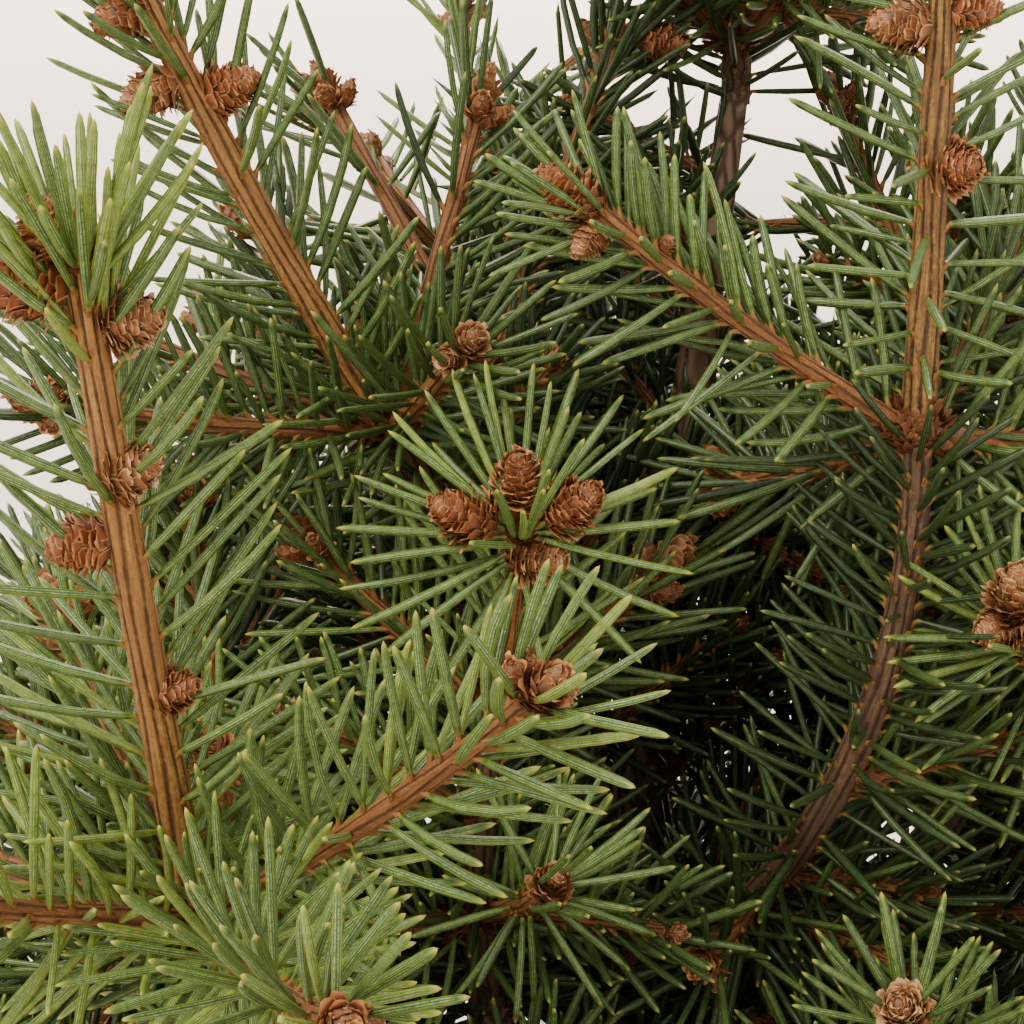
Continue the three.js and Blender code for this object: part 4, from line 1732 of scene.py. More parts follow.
COMB_SHOOT = (
    (614, 198, 572, 88, 0.2), (600, 196, 513, 109, -0.3), (602, 194, 554, 108, -0.6),
    (600, 208, 519, 132, -0.2), (594, 206, 503, 155, -0.5), (588, 219, 510, 161, 0.6),
    (606, 212, 547, 150, 0.8), (586, 214, 473, 180, 0.1), (584, 223, 501, 202, 0.6),
    (626, 215, 618, 105, 0.3), (636, 224, 628, 120, -0.4), (642, 231, 631, 139, 0.6),
    (662, 240, 645, 156, 0.7), (688, 254, 675, 153, 0.5), (705, 270, 690, 193, 0.3),
    (717, 290, 694, 219, 0.7), (735, 306, 718, 207, -0.3), (757, 322, 725, 198, -0.2),
    (738, 305, 725, 244, 0.8), (775, 330, 753, 234, 0.3), (790, 345, 767, 262, 0.4),
    (820, 365, 797, 262, 0.2), (680, 248, 660, 130, -0.5), (712, 282, 706, 168, -0.6),
    (600, 240, 488, 276, 0.3), (632, 258, 558, 282, 0.6), (652, 272, 540, 320, 0.2),
    (684, 300, 572, 366, 0.3), (723, 330, 577, 342, -0.4), (762, 362, 642, 442, -0.2),
    (734, 338, 675, 422, 0.6), (782, 380, 642, 419, -0.4), (805, 392, 735, 445, 0.6),
    (830, 402, 775, 462, 0.5), (625, 238, 590, 220, 1.0), (665, 262, 640, 237, 1.0),
    (694, 290, 669, 272, 1.0), (743, 325, 731, 300, 1.0), (716, 312, 663, 327, 0.95),
    (777, 352, 748, 342, 1.0), (800, 358, 783, 323, 1.0), (828, 392, 807, 386, 1.0),
)
RIGHT_LEADER = (
    (922, 62, 797, 14, 0.1), (934, 112, 795, 35, 0.4), (918, 164, 788, 97, 0.3),
    (926, 140, 856, 104, 0.9), (926, 210, 845, 195, 0.8), (932, 176, 892, 186, 0.9),
    (916, 230, 785, 180, 0.1), (905, 280, 808, 265, 0.5), (918, 338, 843, 345, 0.7),
    (914, 372, 855, 373, 0.7), (958, 34, 1060, -12, 0.2), (962, 100, 1062, 42, 0.1),
    (959, 122, 1070, 58, 0.3), (947, 84, 983, 48, 0.95), (970, 158, 1066, 94, 0.2),
    (966, 186, 1078, 180, 0.0), (950, 271, 1076, 264, 0.2), (945, 334, 1062, 374, 0.3),
    (940, 380, 1014, 383, 0.6), (940, 243, 911, 288, 1.0), (932, 304, 946, 331, 1.0),
    (928, 362, 931, 399, 1.0), (945, 232, 1050, 215, 0.4), (920, 20, 812, -12, 0.2),
    (912, 312, 800, 300, -0.3), (915, 250, 830, 225, -0.5), (950, 300, 1045, 318, -0.4),
)

HERO_SHOOTS = {
    ("right_leader", 0): HeroShoot(48, 68, 1.3, 15.0, facing=-0.15, placed=RIGHT_LEADER),
    ("right_leader", 1): HeroShoot(34, 62, 2.2, 13.0, facing=-0.1, placed=COMB_SHOOT),
    ("left_leader", 0): HeroShoot(44, 66, 1.7, 15.5, 0.8, tone=3, tuft=34),
    ("left_leader", 1): HeroShoot(40, 62, 1.9, 14.5, 0.6, tone=3),
    ("centre", 0): HeroShoot(60, 76, 1.7, 15.0, until=0.82, facing=-0.2, tone=3,
                             placed=CENTRE_ROSETTE),
    ("centre", 3): HeroShoot(56, 76, 1.5, 14.0, until=0.85, facing=-0.1, tone=2,
                             placed=LOWER_ROSETTE),
    ("upper_left", 0): HeroShoot(38, 62, 1.9, 14.5, 0.75, tone=2),
    ("right_edge", 0): HeroShoot(60, 80, 1.6, 14.5, until=0.85, facing=-0.1, tone=3,
                                 placed=RIGHT_ROSETTE),
    ("bottom_right", 0): HeroShoot(52, 76, 2.2, 14.0, 0.8, tone=2),
    ("mid_left", 0): HeroShoot(50, 76, 2.0, 14.5, 0.6, tone=3),
}


@dataclass
class NeedleRows:
    """Needles as rows: where each is rooted, how it runs and how it looks."""

    root: Array
    along: Array
    bend: Array
    side: Array
    peg: Array
    length: Array
    width: Array
    tone: Array
    detail: Array

    @staticmethod
    def joined(rows: list["NeedleRows"]) -> "NeedleRows":
        """Several sets of rows as one."""
        return NeedleRows(*(np.concatenate([getattr(row, part.name) for row in rows])
                            for part in fields(NeedleRows)))

    def chosen(self, mask: Array) -> "NeedleRows":
        """The rows that a mask picks."""
        return NeedleRows(*(getattr(self, part.name)[mask] for part in fields(self)))

    def tips(self) -> Array:
        """The tips of the needles."""
        return self.root + self.peg + self.length[:, None] * (self.along + self.bend)


@dataclass(frozen=True)
class NeedleShape:
    """A needle's section: shares of its length and its thickness there."""

    stations: tuple[float, ...]
    thickness: tuple[float, ...]


NEEDLE_SHAPES = {
    Detail.CLOSE: NeedleShape((0, 0.08, 0.36, 0.7, 0.9, 0.965), (0.55, 0.8, 1.0, 0.98, 0.84, 0.5)),
    Detail.FAR: NeedleShape((0, 0.36, 0.86), (0.65, 1.0, 0.86)),
    Detail.SPARE: NeedleShape((0, 0.6), (0.75, 1.0)),
}


@dataclass(frozen=True)
class Straying:
    """How far needles stray from their rule: spreads, least and greatest values, and chances."""

    side: float = 0.2
    tone: float = 0.14
    width: Pair = (0.9, 1.1)
    share: float = 0.4
    turn: float = 0.18
    angle: float = 6
    way: float = 0.05
    curl: Pair = (-0.02, 0.16)
    hooked: float = 0.1
    hook: float = 0.14
    length: Pair = (0.86, 1.1)
    in_gaps: float = 0.92
    in_hollows: float = 0.6
    placed_bow: Pair = (-0.07, 0.13)


@dataclass(frozen=True)
class Tuft:
    """The bright needles about a shoot's tip: least and greatest values, and their tone."""

    share: Pair = (0.88, 1.0)
    angle: Pair = (10, 38)
    length: Pair = (13.5, 17.0)
    bend: Pair = (-0.02, 0.1)
    # The lightest needle finish: partly the pale colour of fresh needles, partly painted light.
    tone: int = 4


STRAY = Straying()
TUFT = Tuft()


@dataclass
class Foliage:
    """The needles of the whole crown, and the little pegs that they stand on.

    Along a twig the needles' angle goes from its foot value to its tip value by a power of the
    share, and their length rises from its least share and falls again. A needle that the picture
    shows is set at the nearest point of its twig, looked for in so many steps.
    """

    crown: Crown
    seed: int = 5
    width: float = 1.0
    flatness: float = 0.88
    rootedness: float = 0.8
    lift: float = 0.34
    bow: float = 0.5
    shaded_density: float = 1.3
    angle_power: float = 1.5
    length_least: float = 0.80
    length_rise: float = 0.24
    length_power: float = 0.8
    search_from: float = 0.02
    search_steps: int = 196
    least_depth: float = 3.0
    pot_spacing: float = 0.8
    margin: float = 18
    outside_fall: float = 3.0
    front_share: float = 0.86
    front_facing: float = 0.6
    peg_length: float = 0.95
    peg_way: Pair = (0.75, 0.66)
    peg_foot: Pair = (-0.9, 0.5)
    peg_head: Pair = (1.06, 0.29)
    groups: dict[str, tuple[str, ...]] = field(default_factory=lambda: {
        "needles_front_right": ("right_leader", "right_edge", "bottom_right"),
        "needles_front_left": ("left_leader", "mid_left"),
        "needles_front_middle": ("centre", "upper_left", "behind"),
        "needles_low_front": ("low_1", "low_2", "low_6", "low_7"),
        "needles_low_back": ("low_3", "low_4", "low_5"),
        "needles_lower_front": ("lower_1", "lower_2", "lower_6"),
        "needles_lower_back": ("lower_3", "lower_4", "lower_5"),
        "needles_upper": ("upper_1", "upper_2", "upper_3", "upper_4", "upper_5"),
        "needles_top": ("high_1", "high_2", "main_leader"),
    })

    def detail_of(self, twig: Twig) -> int:
        """How finely a twig's needles are built, as a place in the list of details."""
        spare = not twig.close and twig.kind in (Kind.FINE, Kind.BOUGH)
        return list(Detail).index(Detail.SPARE if spare else twig.detail)

    def pegs(self, forward: Array, radial: Array) -> Array:
        """The runs of the pegs, from the twig's directions and the directions outward."""
        onward, outward = self.peg_way
        return unit(forward * onward + radial * outward) * self.peg_length

    def rows(self, twig: Twig, chance: np.random.Generator, base: Array, radial: Array,
             forward: Array, way: Array, size: Array, bend: Array, tone: int) -> NeedleRows:
        """Rows from the needles' main directions.

        Args:
            twig: the twig they stand on.
            chance: source of random numbers.
            base: their feet on the twig's bark.
            radial: directions from the twig's axis to their feet.
            forward: the twig's directions there.
            way: their own directions.
            size: their lengths.
            bend: how far each is bent, for a length of one.
            tone: the twig's tone.

        Returns:
            The rows.
        """
        count = len(size)
        side = unit(np.cross(way, bend + UP * 1e-3) + chance.normal(0, STRAY.side, (count, 3)))
        side = unit(side - way * (side * way).sum(1, keepdims=True))
        peg = self.pegs(forward, radial)
        tones = tone + (chance.random(count) < STRAY.tone) - (chance.random(count) < STRAY.tone)
        return NeedleRows(base, way, bend, side, peg, size,
                          self.width * chance.uniform(*STRAY.width, count),
                          np.clip(tones, 0, NEEDLE_SHADE_STEPS - 1), np.full(count, self.detail_of(twig)))

    def spiral(self, twig: Twig, chance: np.random.Generator, hero: HeroShoot | None) -> NeedleRows:
        """The needles of one twig, in a golden-angle spiral.

        Args:
            twig: the twig.
            chance: source of random numbers.
            hero: how its needles differ from its kind's, or None.

        Returns:
            The rows.
        """
        growth = GROWTH[twig.kind]
        shaded = self.shaded_density if twig.tone == 0 else 1.0
        density = hero.density if hero else growth.density * shaded
        end = min(growth.end, hero.until) if hero else growth.end
        count = max(4, round(twig.axis.length * density * (end - growth.begin)))
        share = chance.uniform(-STRAY.share, STRAY.share, count) / count
        share = np.clip(np.linspace(growth.begin, end, count) + share, 0.01, 1.0)
        forward, across, along = twig.axis.frames(share)
        turn = np.arange(count) * GOLDEN_TURN + chance.uniform(0, 6.28)
        radial = about(across, along, turn + chance.normal(0, STRAY.turn, count))
        foot = hero.foot_angle if hero else growth.foot_angle
        tip = hero.tip_angle if hero else growth.tip_angle
        angle = foot + (tip - foot) * share ** self.angle_power
        angle = np.radians(angle + chance.normal(0, STRAY.angle, count))
        level = 1.0 - np.abs(forward[:, 2:3])
        way = forward * np.cos(angle)[:, None] + radial * np.sin(angle)[:, None]
        way = unit(way + UP * self.lift * level + chance.normal(0, STRAY.way, (count, 3)))
        base = twig.axis.at(share) + radial * (growth.radius(share) * self.rootedness)[:, None]
        towards = forward + UP * self.bow * level
        towards = unit(towards - way * (towards * way).sum(1, keepdims=True))
        curl = chance.uniform(*STRAY.curl, count)
        curl = curl + (chance.random(count) < STRAY.hooked) * STRAY.hook
        rise = self.length_rise * np.sin(np.pi * share ** self.length_power)
        size = (hero.needle if hero else growth.needle) * (self.length_least + rise)
        size *= chance.uniform(*STRAY.length, count)
        rows = self.rows(twig, chance, base, radial, forward, way, size,
                         towards * curl[:, None], twig.tone)
        tips = rows.tips()
        keep = ~self.crown.meets_pot(tips, self.pot_spacing)
        if hero:
            facing = radial @ -VIEW.axes()[2]
            facing = facing - self.outside_fall * VIEW.outside(base, self.margin)
            front = (facing > self.front_facing) & (share < self.front_share)
            keep &= facing < hero.facing
            keep &= ~(front & (chance.random(count) < hero.thinned))
        else:
            hidden = VIEW.through_gaps(tips) | VIEW.through_gaps((base + tips) / 2)
            keep &= ~(hidden & (chance.random(count) < STRAY.in_gaps))
            keep &= ~(VIEW.in_hollows(tips) & (chance.random(count) < STRAY.in_hollows))
        return rows.chosen(keep)

    def placed(self, twig: Twig, chance: np.random.Generator, hero: HeroShoot) -> NeedleRows:
        """The needles whose feet and tips are given in the front view.

        Args:
            twig: the twig they stand on.
            chance: source of random numbers.
            hero: the shoot's list of needles and their length.

        Returns:
            The rows.
        """
        fine = np.linspace(self.search_from, 1.0, self.search_steps + 1)
        points = twig.axis.at(fine)
        seen = VIEW.seen(points)
        table = np.array(hero.placed)
        gap = np.hypot(seen[:, 0, None] - table[None, :, 0], seen[:, 1, None] - table[None, :, 1])
        best = gap.argmin(0)
        share, centre, depth = fine[best], points[best], seen[best, 2]
        flat = np.array([VIEW.world(x, y, d) for (_, _, x, y, _), d in zip(table, depth)])
        reach = np.linalg.norm(flat - centre, axis=1)
        spare = np.sqrt(np.maximum(hero.needle ** 2 - reach ** 2, self.least_depth ** 2))
        depth = depth - table[:, 4] * spare
        tip = np.array([VIEW.world(x, y, d) for (_, _, x, y, _), d in zip(table, depth)])
        forward, _, _ = twig.axis.frames(share)
        out = tip - centre
        radial = unit(out - forward * (out * forward).sum(1, keepdims=True))
        radius = GROWTH[twig.kind].radius(share)
        base = centre + radial * (radius * self.rootedness)[:, None]
        run = tip - base - self.pegs(forward, radial)
        size = np.linalg.norm(run, axis=1)
        bow = unit(np.cross(run, VIEW.axes()[2]))
        bow = bow * chance.uniform(*STRAY.placed_bow, len(size))[:, None] * np.sign(run[:, :1])
        return self.rows(twig, chance, base, radial, forward, run / size[:, None] - bow, size,
                         bow, twig.tone)

    def tuft(self, twig: Twig, chance: np.random.Generator, count: int) -> NeedleRows:
        """Bright upright needles about a shoot's tip.

        Args:
            twig: the shoot.
            chance: source of random numbers.
            count: how many needles there are.

        Returns:
            The rows.
        """
        share = chance.uniform(*TUFT.share, count)
        forward, across, along = twig.axis.frames(share)
        radial = about(across, along, np.arange(count) * GOLDEN_TURN)
        angle = np.radians(chance.uniform(*TUFT.angle, count))
        way = forward * np.cos(angle)[:, None] + radial * np.sin(angle)[:, None]
        base = twig.axis.at(share) + radial * GROWTH[twig.kind].tip_radius * self.rootedness
        size = chance.uniform(*TUFT.length, count)
        bend = radial * chance.uniform(*TUFT.bend, count)[:, None]
        return self.rows(twig, chance, base, radial, forward, way, size, bend, TUFT.tone)

    def on_twig(self, twig: Twig, chance: np.random.Generator) -> NeedleRows:
        """All the needles of one twig.

        Args:
            twig: the twig, which takes the painted-light tone of a front shoot here.
            chance: source of random numbers.

        Returns:
            The rows.
        """
        named = twig.green and twig.kind is not Kind.FINE
        hero = HERO_SHOOTS.get((twig.mass, twig.rank)) if named else None
        if hero and hero.tone is not None:
            twig.tone = hero.tone
        parts = [self.spiral(twig, chance, hero)]
        if hero and hero.placed:
            parts.append(self.placed(twig, chance, hero))
        if hero and hero.tuft:
            parts.append(self.tuft(twig, chance, hero.tuft))
        return NeedleRows.joined(parts)

    def add_needles(self, draft: Draft, rows: NeedleRows, shape: NeedleShape) -> None:
        """Add needles of four rounded ridges each.

        Args:
            draft: the piece they go into.
            rows: the needles.
            shape: their section along their length.
        """
        if not len(rows.length):
            return
        station = np.array(shape.stations)
        rings, count = len(station), len(rows.length)
        root = (rows.root + rows.peg)[:, None]
        reach = rows.length[:, None, None]
        s = station[None, :, None]
        centre = root + reach * (rows.along[:, None] * s + rows.bend[:, None] * s * s)
        tangent = unit(rows.along[:, None] + 2 * rows.bend[:, None] * s)
        side = rows.side[:, None]
        side = unit(side - tangent * (side * tangent).sum(-1, keepdims=True))
        top = np.cross(tangent, side)
        half = rows.width[:, None, None] / 2 * np.array(shape.thickness)[None, :, None]
        corners = np.stack([centre + side * half, centre + top * half * self.flatness,
                            centre - side * half, centre - top * half * self.flatness], 2)
        points = np.concatenate([corners.reshape(count, rings * 4, 3), rows.tips()[:, None]], 1)
        lane = np.tile([0.03, 0.97], 2 * rings).tolist() + [0.5]
        run = np.repeat(0.01 + 0.98 * station, 4).tolist() + [0.99]
        spots = np.empty((count, 4 * rings + 1, 2))
        spots[:, :, 0] = (rows.tone[:, None] + np.array(lane)[None]) / NEEDLE_SHADE_STEPS
        spots[:, :, 1] = np.array(run)[None]
        draft.add_copies(points, ring_faces(rings - 1, 4), fan(4 * (rings - 1), 4, 4 * rings),
                         spots, rows.tone)

    def add_pegs(self, draft: Draft, rows: NeedleRows) -> None:
        """Add the woody peg under each close needle.

        Args:
            draft: the piece they go into.
            rows: all the needles.
        """
        rows = rows.chosen(rows.detail == list(Detail).index(Detail.CLOSE))
        side = unit(np.cross(rows.peg, rows.root - rows.root.mean(0)) + 1e-6)
        top = unit(np.cross(side, rows.peg))
        corners = []
        for share, half in (self.peg_foot, self.peg_head):
            centre = rows.root + rows.peg * share
            corners += [centre + side * half, centre + top * half, centre - side * half,
                        centre - top * half]
        points = np.stack(corners, 1)
        spots = np.zeros((*points.shape[:2], 2))
        spots[:, :, 0] = (np.tile([0.1, 0.13, 0.16, 0.13], 2) / TWIG_TONES)[None]
        spots[:, :, 1] = np.repeat([0.3, 0.34], 4)[None]
        draft.add_copies(points, ring_faces(1, 4), NO_TRIANGLES, spots,
                         np.zeros(len(points), int))

    def build(self) -> NeedleRows:
        """Build every needle piece.

        Returns:
            All the rows, for the pegs.
        """
        chance = np.random.default_rng(self.seed)
        materials = [finish.material(f"needle_green_{i + 1}")
                     for i, finish in enumerate(NEEDLE_LIGHT_AND_SHADE)]
        by_mass: dict[str, list[NeedleRows]] = {}
        for twig in self.crown.twigs:
            by_mass.setdefault(twig.mass, []).append(self.on_twig(twig, chance))
        for name, members in self.groups.items():
            rows = NeedleRows.joined([row for mass in members for row in by_mass[mass]])
            draft = Draft()
            for number, detail in enumerate(Detail):
                self.add_needles(draft, rows.chosen(rows.detail == number), NEEDLE_SHAPES[detail])
            log.info("%s: %d needles, %d triangles", name, len(rows.length),
                     draft.triangle_count())
            piece = draft.build(name, materials)
            settle(piece, [f"needles_{mass}" for mass in members])
        return NeedleRows.joined([row for rows in by_mass.values() for row in rows])


# ---- twigs, bark


TWIG_TONES = 4


@dataclass
class Twigs:
    """The bark of every stem and shoot, with the pegs of the close needles."""

    crown: Crown
    stem_begin: float = -0.02
    ridge_slope: float = 1.6
    ridge_level: float = 0.6
    ridge_depth: float = 0.09
    ridged_from: int = 12
    top_share: float = 1.02
    collar_swell: float = 0.2
    collar_length: float = 2.2

    def add_tube(self, draft: Draft, twig: Twig) -> None:
        """Add one twig as a grooved, tapering tube.

        Its last point of each ring lies on the first one, so that the fibre map can end there.

        Args:
            draft: the piece it goes into.
            twig: the twig.
        """
        growth = GROWTH[twig.kind]
        fineness = 0 if twig.close else 1
        sides = growth.sides[fineness]
        rings = max(3, round(twig.axis.length / growth.ring_step[fineness]))
        begin = self.stem_begin if twig.kind is Kind.STEM else 0.0
        share = np.linspace(begin, 1.0, rings + 1)
        forward, across, along = twig.axis.frames(share)
        lane = np.arange(sides + 1) / sides
        turn = lane * 2 * math.pi
        if twig.mass == "main_leader" and twig.kind is Kind.STEM:
            radius = np.full(rings + 1, TRUNK.top_radius * self.top_share)
        else:
            swollen = np.exp(-share * twig.axis.length / self.collar_length)
            radius = growth.radius(share) * (1 + self.collar_swell * swollen)
        radius = radius[:, None] * np.ones(sides + 1)
        if twig.close and sides > self.ridged_from:
            run = TwigFinish.lane_run(lane[None] * growth.ridges, share[:, None], lane[None])
            wave = np.abs(run - np.floor(run) - 0.5) * 2
            ridge = np.minimum(wave * self.ridge_slope, 1.0) - self.ridge_level
            radius = radius * (1 + self.ridge_depth * ridge)
        centre = twig.axis.at(share)
        points = centre[:, None] + radius[..., None] * all_about(across, along, turn)
        tip = centre[-1] + forward[-1] * growth.tip_radius
        points = np.vstack([points.reshape(-1, 3), tip])
        tone = TwigFinish.tone_of(twig)
        spots = np.empty((rings + 1, sides + 1, 2))
        spots[..., 0] = ((0.02 + 0.96 * lane + tone) / TWIG_TONES)[None]
        spots[..., 1] = np.clip(share, 0.01, 0.99)[:, None]
        spots = np.vstack([spots.reshape(-1, 2), [[(tone + 0.5) / TWIG_TONES, 0.99]]])
        ring, side = np.meshgrid(np.arange(rings), np.arange(sides), indexing="ij")
        a = (ring * (sides + 1) + side).ravel()
        quads = np.stack([a, a + 1, a + sides + 2, a + sides + 1], -1)
        last = rings * (sides + 1) + np.arange(sides)
        triangles = np.stack([last, last + 1, np.full(sides, len(points) - 1)], -1)
        draft.add(points, quads, triangles, spots, tone)

    def build(self, foliage: Foliage, rows: NeedleRows) -> None:
        """Build the two pieces of twig bark.

        Args:
            foliage: the foliage, which knows the pegs of its needles.
            rows: all the needles.
        """
        materials = [finish.material(name) for name, finish in TWIG_FINISHES.items()]
        for detail in (Detail.CLOSE, Detail.FAR):
            draft = Draft()
            for twig in self.crown.twigs:
                if twig.detail is detail and twig.kind is not Kind.BOUGH:
                    self.add_tube(draft, twig)
            if detail is Detail.CLOSE:
                foliage.add_pegs(draft, rows)
            log.info("twigs_%s: %d triangles", detail.value, draft.triangle_count())
            settle(draft.build(f"twigs_{detail.value}", materials))


@dataclass
class TrunkAndBoughs:
    """The bark relief of the trunk and of the boughs.

    The fractal is its falling share, its rising rate and its number of layers.
    """

    crown: Crown
    fractal: tuple[float, float, int] = (0.9, 2.1, 4)
    stretch: Triple = (1.0, 1.0, 0.45)
    relief: float = 0.42
    thickness: Pair = (0.35, 1.3)
    trunk_sides: int = 84
    trunk_rings: int = 230
    trunk_crowding: float = 1.15
    trunk_flakes: float = 3.2
    trunk_level: float = 0.62
    trunk_relief: float = 2.2
    bough_sides: int = 16
    bough_step: float = 1.7
    bough_end: float = 1.01
    bough_flakes: float = 2.2
    bough_level: float = 0.55
    bough_swell: float = 0.35
    bough_swell_length: float = 3.0

    def flakes(self, points: Array, scale: float) -> Array:
        """Relief from 0 to 1 at each point: flaky plates drawn out along the trunk."""
        stretched = points * np.array(self.stretch) / scale
        return np.array([0.5 + 0.5 * noise.fractal(Vector(p), *self.fractal) for p in stretched])

    def trunk(self, material: bpy.types.Material) -> None:
        """Build the trunk.

        Args:
            material: its bark.
        """
        share = np.linspace(0, 1, self.trunk_rings + 1) ** self.trunk_crowding
        height = TRUNK.foot + (TRUNK.top - TRUNK.foot) * share
        turn = full_turn(self.trunk_sides)
        flare = TRUNK.flare(height)[:, None]
        lobe = 1 + TRUNK.flare_depth * flare * np.cos(TRUNK.flare_lobes * turn)[None]
        radius = TRUNK.radius(height)[:, None] * lobe
        centre = TRUNK.point(height)
        ring = flat_ring(self.trunk_sides)
        smooth = centre[:, None] + radius[..., None] * ring[None]
        rough = self.flakes(smooth.reshape(-1, 3), self.trunk_flakes).reshape(radius.shape)
        thick = np.clip(radius / TRUNK.neck_radius, *self.thickness)
        raised = (rough - self.trunk_level) * self.relief * self.trunk_relief * thick
        points = smooth + raised[..., None] * ring[None]
        points = np.vstack([points.reshape(-1, 3), centre[:1], centre[-1:] + UP * 0.4])
        draft = Draft()
        add_rings(draft, points, self.trunk_rings, self.trunk_sides)
        settle(draft.build("trunk_bark", [material], mapped=False), ["trunk"])

    def boughs(self, material: bpy.types.Material) -> None:
        """Build all the boughs as one piece.

        Args:
            material: their bark.
        """
        draft = Draft()
        for mass in self.crown.masses:
            if not mass.arm:
                continue
            rings = round(mass.arm.length / self.bough_step)
            share = np.linspace(0, self.bough_end, rings + 1)
            _, across, along = mass.arm.frames(share)
            inside = float(TRUNK.radius(mass.plan.leaves))
            foot = min(LIMB.bough_foot, LIMB.foot_share * inside)
            radius = foot + (LIMB.bough_tip - foot) * share
            distance = np.maximum(share * mass.arm.length - inside, 0)
            swollen = np.exp(-distance / self.bough_swell_length)
            radius = radius * (1 + self.bough_swell * swollen)
            outward = all_about(across, along, full_turn(self.bough_sides))
            centre = mass.arm.at(share)
            smooth = centre[:, None] + radius[:, None, None] * outward
            rough = self.flakes(smooth.reshape(-1, 3), self.bough_flakes)
            raised = (rough.reshape(outward.shape[:2]) - self.bough_level) * self.relief
            points = smooth + raised[..., None] * outward
            points = np.vstack([points.reshape(-1, 3), centre[:1], centre[-1:]])
            add_rings(draft, points, rings, self.bough_sides)
        nodes = [f"bough_{mass.name}" for mass in self.crown.masses if mass.arm]
        settle(draft.build("bough_bark", [material], mapped=False), nodes)

    def build(self) -> None:
        """Build the trunk and the boughs."""
        material = BarkFinish().material("flaky_bark")
        self.trunk(material)
        self.boughs(material)


# ---- buds


@dataclass(frozen=True)
class BudSpot:
    """A bud of the front shoots, by the shoot it sits on and its place in the front view."""

    mass: str
    shoot: int
    x: float
    y: float
    length: float = 6.4
    width: float = 4.7
    towards: float = 0.3


FRONT_BUDS = (
    BudSpot("centre", 0, 520, 479, 6.6, 5.1, 2.2),
    BudSpot("centre", 0, 461, 514, 7.4, 4.8, 0.3),
    BudSpot("centre", 0, 573, 505, 7.2, 4.8, 0.5),
    BudSpot("centre", 0, 531, 555, 5.8, 4.8, 1.0),
    BudSpot("centre", 3, 553, 884, 4.6, 3.6, 0.35),
    BudSpot("right_leader", 0, 900, 24, 6.4, 4.6, 0.1),
    BudSpot("right_leader", 0, 955, 166, 5.2, 5.0, 1.4),
    BudSpot("right_leader", 0, 975, 6, 5.5, 4.4, 0.2),
    BudSpot("right_leader", 1, 566, 189, 6.6, 4.4, 0.2),
    BudSpot("right_leader", 1, 587, 239, 4.4, 3.2, 0.2),
    BudSpot("right_leader", 1, 668, 242, 2.0, 1.7, 0.3),
    BudSpot("left_leader", 0, 125, 470, 5.6, 4.6, 0.3),
    BudSpot("left_leader", 0, 70, 546, 5.6, 4.6, 0.2),
    BudSpot("left_leader", 0, 172, 690, 4.8, 3.8, 0.3),
    BudSpot("left_leader", 0, 22, 285, 7.0, 5.4, 0.2),
    BudSpot("left_leader", 0, 132, 318, 5.6, 4.6, 0.3),
    BudSpot("left_leader", 0, 45, 225, 5.6, 4.6, 0.2),
    BudSpot("upper_left", 0, 148, 92, 6.6, 4.6, 0.1),
    BudSpot("upper_left", 0, 231, 86, 6.2, 4.8, 0.1),
    BudSpot("upper_left", 0, 120, 14, 6.4, 4.8, 0.2),
    BudSpot("behind", 0, 668, 42, 5.5, 4.4, 0.2),
    BudSpot("right_edge", 0, 1018, 590, 6.0, 4.6, 0.3),
    BudSpot("right_edge", 0, 1000, 628, 5.2, 4.0, 0.3),
    BudSpot("bottom_right", 0, 903, 1010, 5.8, 4.4, 0.6),
)


@dataclass
class Bud:
    """A bud: its foot, direction, length and width, and the number of its grid of scales."""

    foot: Array
    way: Array
    length: float
    width: float
    grid: int

    def __post_init__(self) -> None:
        """Make the direction one long."""
        self.way = unit(self.way)


@dataclass(frozen=True)
class ScaleGrid:
    """How finely the scales of a bud are built: half widths are angles, in radians."""

    scales: int
    span: float
    half_width: float
    rows: tuple[float, ...]
    columns: tuple[float, ...]
    widths: tuple[float, ...]


SCALE_GRIDS = (
    ScaleGrid(98, 0.2, 0.36, (0, 0.4, 0.7, 0.9, 1.0), (-1, 0, 1), (0.8, 1.0, 0.95, 0.7, 0.16)),
    ScaleGrid(34, 0.3, 0.5, (0, 0.55, 0.85, 1.0), (-1, 1), (0.8, 1.0, 0.7, 0.15)),
    ScaleGrid(11, 0.42, 0.8, (0, 0.6, 1.0), (-1, 1), (0.8, 1.0, 0.2)),
)
HERO_GRID, CLOSE_GRID, FAR_GRID = range(3)


@dataclass(frozen=True)
class ScaleHabit:
    """How bud scales stand and stray, in shares of the bud: spreads, least and greatest values."""

    crowding: float = 0.92
    shortening: float = 0.35
    length: Pair = (0.75, 1.3)
    phase: float = 1.7
    turn: Pair = (0.14, 0.16)
    width: Pair = (0.75, 1.15)
    narrowest: float = 0.45
    keel: float = 0.06
    lift: Pair = (0.42, 0.32)
    lift_spread: Pair = (0.4, 1.7)
    rim: float = 0.04
    out: Pair = (0.88, 0.08)
    sunk: float = 0.02
    rise: float = 0.012


SCALES = ScaleHabit()


@dataclass(frozen=True)
class HuskHabit:
    """How the small dark scales sit at the feet of shoots and over the front whorls.

    The first count is of a close shoot and the second of a far one, and a fine twig has a third
    of it. The first reach is of a whorl and the second of a shoot's tip. Pairs of fractions are
    the ends of a range.
    """

    counts: tuple[int, int] = (24, 6)
    stray: float = 0.4
    along: Pair = (0.1, 3.2)
    seat: float = 1.1
    length: Pair = (1.2, 2.4)
    lift: Pair = (0.25, 0.8)
    half_width: Pair = (0.5, 0.85)
    foot_width: float = 0.7
    hump: float = 0.15
    whorl_count: int = 100
    reaches: Pair = (1.7, 0.9)
    reach_spread: float = 1.35
    sunk: float = 0.4
    splay: float = 0.2
    whorl_length: Pair = (0.7, 1.6)


HUSKS = HuskHabit()


